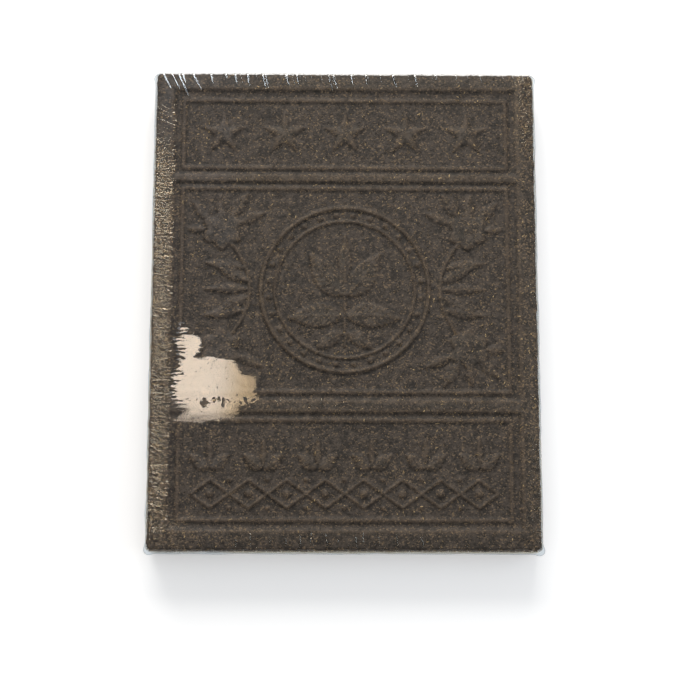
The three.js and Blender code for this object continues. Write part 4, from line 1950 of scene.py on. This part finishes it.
@dataclass(frozen=True)
class Brick:
    """The whole brick: the pressed block, the bits in its surface, and the film round it."""

    width: float
    height: float
    thickness: float
    film_gap: float = 0.45
    spread: float = 0.05

    def dress(self, piece: bpy.types.Object, finish: bpy.types.Material) -> None:
        """Gives a piece its finish and its body, and hides the CAD part that it stands for.

        Args:
            piece: The object.
            finish: Its material.
        """
        piece.data.materials.append(finish)
        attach(piece, BODY)
        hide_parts(NODE)
        LOG.info("%s: %d faces", piece.name, len(piece.data.polygons))

    def build(self) -> None:
        """Builds and dresses every piece, the block first and the film last."""
        half_x, half_y = self.width / 2, self.height / 2
        design = FaceDesign(half_x, half_y, self.thickness - self.film_gap)
        design.compose()
        block = TeaBlock(Block(half_x + self.spread, half_y + self.spread, 2.0), design)
        self.dress(block.build(), TeaFinish().make())
        for bits, finish in BITS:
            self.dress(bits.build(block), finish.make())
        film = FilmFinish().make()
        around = self.spread + self.film_gap * 1.2
        outer = Block(half_x + around, half_y + around, 2.2)
        top = self.thickness - 0.05
        wrap = ClearWrap(outer, top, design)
        self.dress(wrap.build(), film)
        self.dress(FilmFolds(wrap).build(), film)
        weld = FilmFinish("film_weld", tint=(0.84, 0.87, 0.89, 1)).make()
        self.dress(FilmSeam(outer, self.thickness * 0.62).build(), weld)


BITS: tuple[tuple[Bits, BitFinish], ...] = (
    (
        Bits(Kind.DARK_LEAF, 24000, (0.6, 1.7), (0.3, 0.7), 0.26, 4, 71, patchy=0.0),
        BitFinish("dark_leaf", (0.012, 0.0092, 0.0075, 1), (0.075, 0.056, 0.043, 1), 0.5),
    ),
    (
        Bits(Kind.BROWN_LEAF, 20000, (0.5, 1.6), (0.25, 0.6), 0.24, 4, 72, patchy=0.2),
        BitFinish("brown_leaf", (0.06, 0.042, 0.029, 1), (0.19, 0.13, 0.078, 1)),
    ),
    (
        Bits(Kind.STALK, 7000, (1.2, 3.2), (0.22, 0.42), 0.3, 5, 73, patchy=0.3, crowding=0.45),
        BitFinish("stalk", (0.07, 0.048, 0.028, 1), (0.19, 0.13, 0.07, 1)),
    ),
    (
        Bits(Kind.TIP, 9000, (0.7, 2.3), (0.32, 0.72), 0.24, 5, 74, patchy=0.5, crowding=0.85),
        BitFinish("golden_tip", (0.2, 0.13, 0.055, 1), (0.5, 0.35, 0.17, 1), 0.5),
    ),
)


@dataclass(frozen=True)
class Camera:
    """The photograph's camera, worked out from the four corners of the brick's face.

    A point p of the brick goes to turn (p - face centre) + shift in the camera's own axes,
    where turn is a rotation vector in radians and shift is in mm.
    """

    focal_px: float = 1632.0
    frame_px: float = 700.0
    sensor_mm: float = 36.0
    turn: tuple[float, float, float] = (-0.1902, 0.01629, -0.00186)
    shift: tuple[float, float, float] = (-2.52, 22.15, -803.76)

    def place(self, face_z: float) -> bpy.types.Object:
        """Makes the camera and sets it as the scene's.

        Args:
            face_z: Height of the brick's face, in mm.

        Returns:
            The camera.
        """
        data = bpy.data.cameras.new("camera")
        data.sensor_width = self.sensor_mm
        data.lens = self.focal_px / self.frame_px * self.sensor_mm
        data.clip_start = 0.01
        camera = bpy.data.objects.new("camera", data)
        bpy.context.scene.collection.objects.link(camera)
        axis = Vector(self.turn)
        rotation = Matrix.Rotation(axis.length, 4, axis.normalized()).transposed()
        centre = Matrix.Translation((0, 0, face_z * MM))
        camera.matrix_world = centre @ rotation @ Matrix.Translation(-Vector(self.shift) * MM)
        bpy.context.scene.camera = camera
        return camera


@dataclass(frozen=True)
class Softbox:
    """A rectangular lamp: its place and aim in mm, its size, its radiance and its colour."""

    name: str
    place: tuple[float, float, float]
    aim: tuple[float, float, float]
    size: Pair
    radiance: float
    colour: tuple[float, float, float]
    lights_matt: bool = True

    def make(self) -> bpy.types.Object:
        """Makes the lamp, whose power is its radiance times pi times its area.

        Returns:
            The lamp.
        """
        data = bpy.data.lights.new(self.name, "AREA")
        data.shape = "RECTANGLE"
        data.size, data.size_y = self.size[0] * MM, self.size[1] * MM
        data.energy = self.radiance * math.pi * data.size * data.size_y
        data.color = self.colour
        lamp = bpy.data.objects.new(self.name, data)
        lamp.location = Vector(self.place) * MM
        back = (Vector(self.place) - Vector(self.aim)).normalized()
        right = Vector((0, 1, 0)).cross(back).normalized()
        lamp.rotation_euler = Matrix((right, back.cross(right), back)).transposed().to_euler()
        lamp.visible_camera = False
        lamp.visible_diffuse = self.lights_matt
        bpy.context.scene.collection.objects.link(lamp)
        return lamp


@dataclass(frozen=True)
class Studio:
    """The pale floor, the lamps and the even white light all round.

    The floor reaches so many metres each way, and lies so far under the brick that no face of
    the brick falls together with it.
    """

    floor_half: float = 3.0
    floor_z: float = -0.0002
    ambient: float = 0.5
    lamps: tuple[Softbox, ...] = (
        Softbox("window", (-220, 1500, 950), (0, 20, 0), (1400, 680), 9.0, (1.0, 0.975, 0.94)),
        Softbox("glare", (-121, 121, 923), (-64, -36, 20), (122, 150), 8.6, (1.0, 0.81, 0.62), False),
        Softbox("strip", (-340, 110, 900), (-90, 0, 20), (300, 520), 0.65, (1.0, 0.97, 0.92), False),
        Softbox("sky", (-345, 655, 920), (0, 110, 20), (350, 250), 6.8, (0.84, 0.92, 1.0), False),
        Softbox("side", (560, -40, 560), (0, 0, 20), (300, 460), 2.4, (0.78, 0.88, 1.0)),
        Softbox("ceiling", (0, 230, 960), (0, 229, 20), (620, 760), 0.8, (0.72, 0.86, 1.0), False),
    )

    def build(self) -> None:
        """Makes the floor, the lamps and the world."""
        plan = np.array([[-1, -1], [1, -1], [1, 1], [-1, 1]]) * self.floor_half
        corners = np.column_stack([plan, np.full(len(plan), self.floor_z)])
        floor = make_object("floor", corners, np.arange(4)[None], np.zeros((0, 3), int), rounded=False)
        floor.data.materials.append(FloorFinish().make())
        for lamp in self.lamps:
            lamp.make()
        world = bpy.data.worlds.new("studio")
        world.use_nodes = True
        background = world.node_tree.nodes["Background"]
        background.inputs["Color"].default_value = (1, 1, 1, 1)
        background.inputs["Strength"].default_value = self.ambient
        world.cycles_visibility.glossy = False
        bpy.context.scene.world = world
        bpy.context.scene.view_settings.view_transform = "Standard"


def main() -> None:
    """Loads the frame, then builds the brick, the studio and the camera in order."""
    logging.basicConfig(level=logging.INFO, format="%(message)s")
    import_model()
    low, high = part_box(NODE)
    width, height, thickness = ((b - a) / MM for a, b in zip(low, high))
    Camera().place(thickness)
    Brick(width, height, thickness).build()
    Studio().build()


if __name__ == "__main__":
    main()
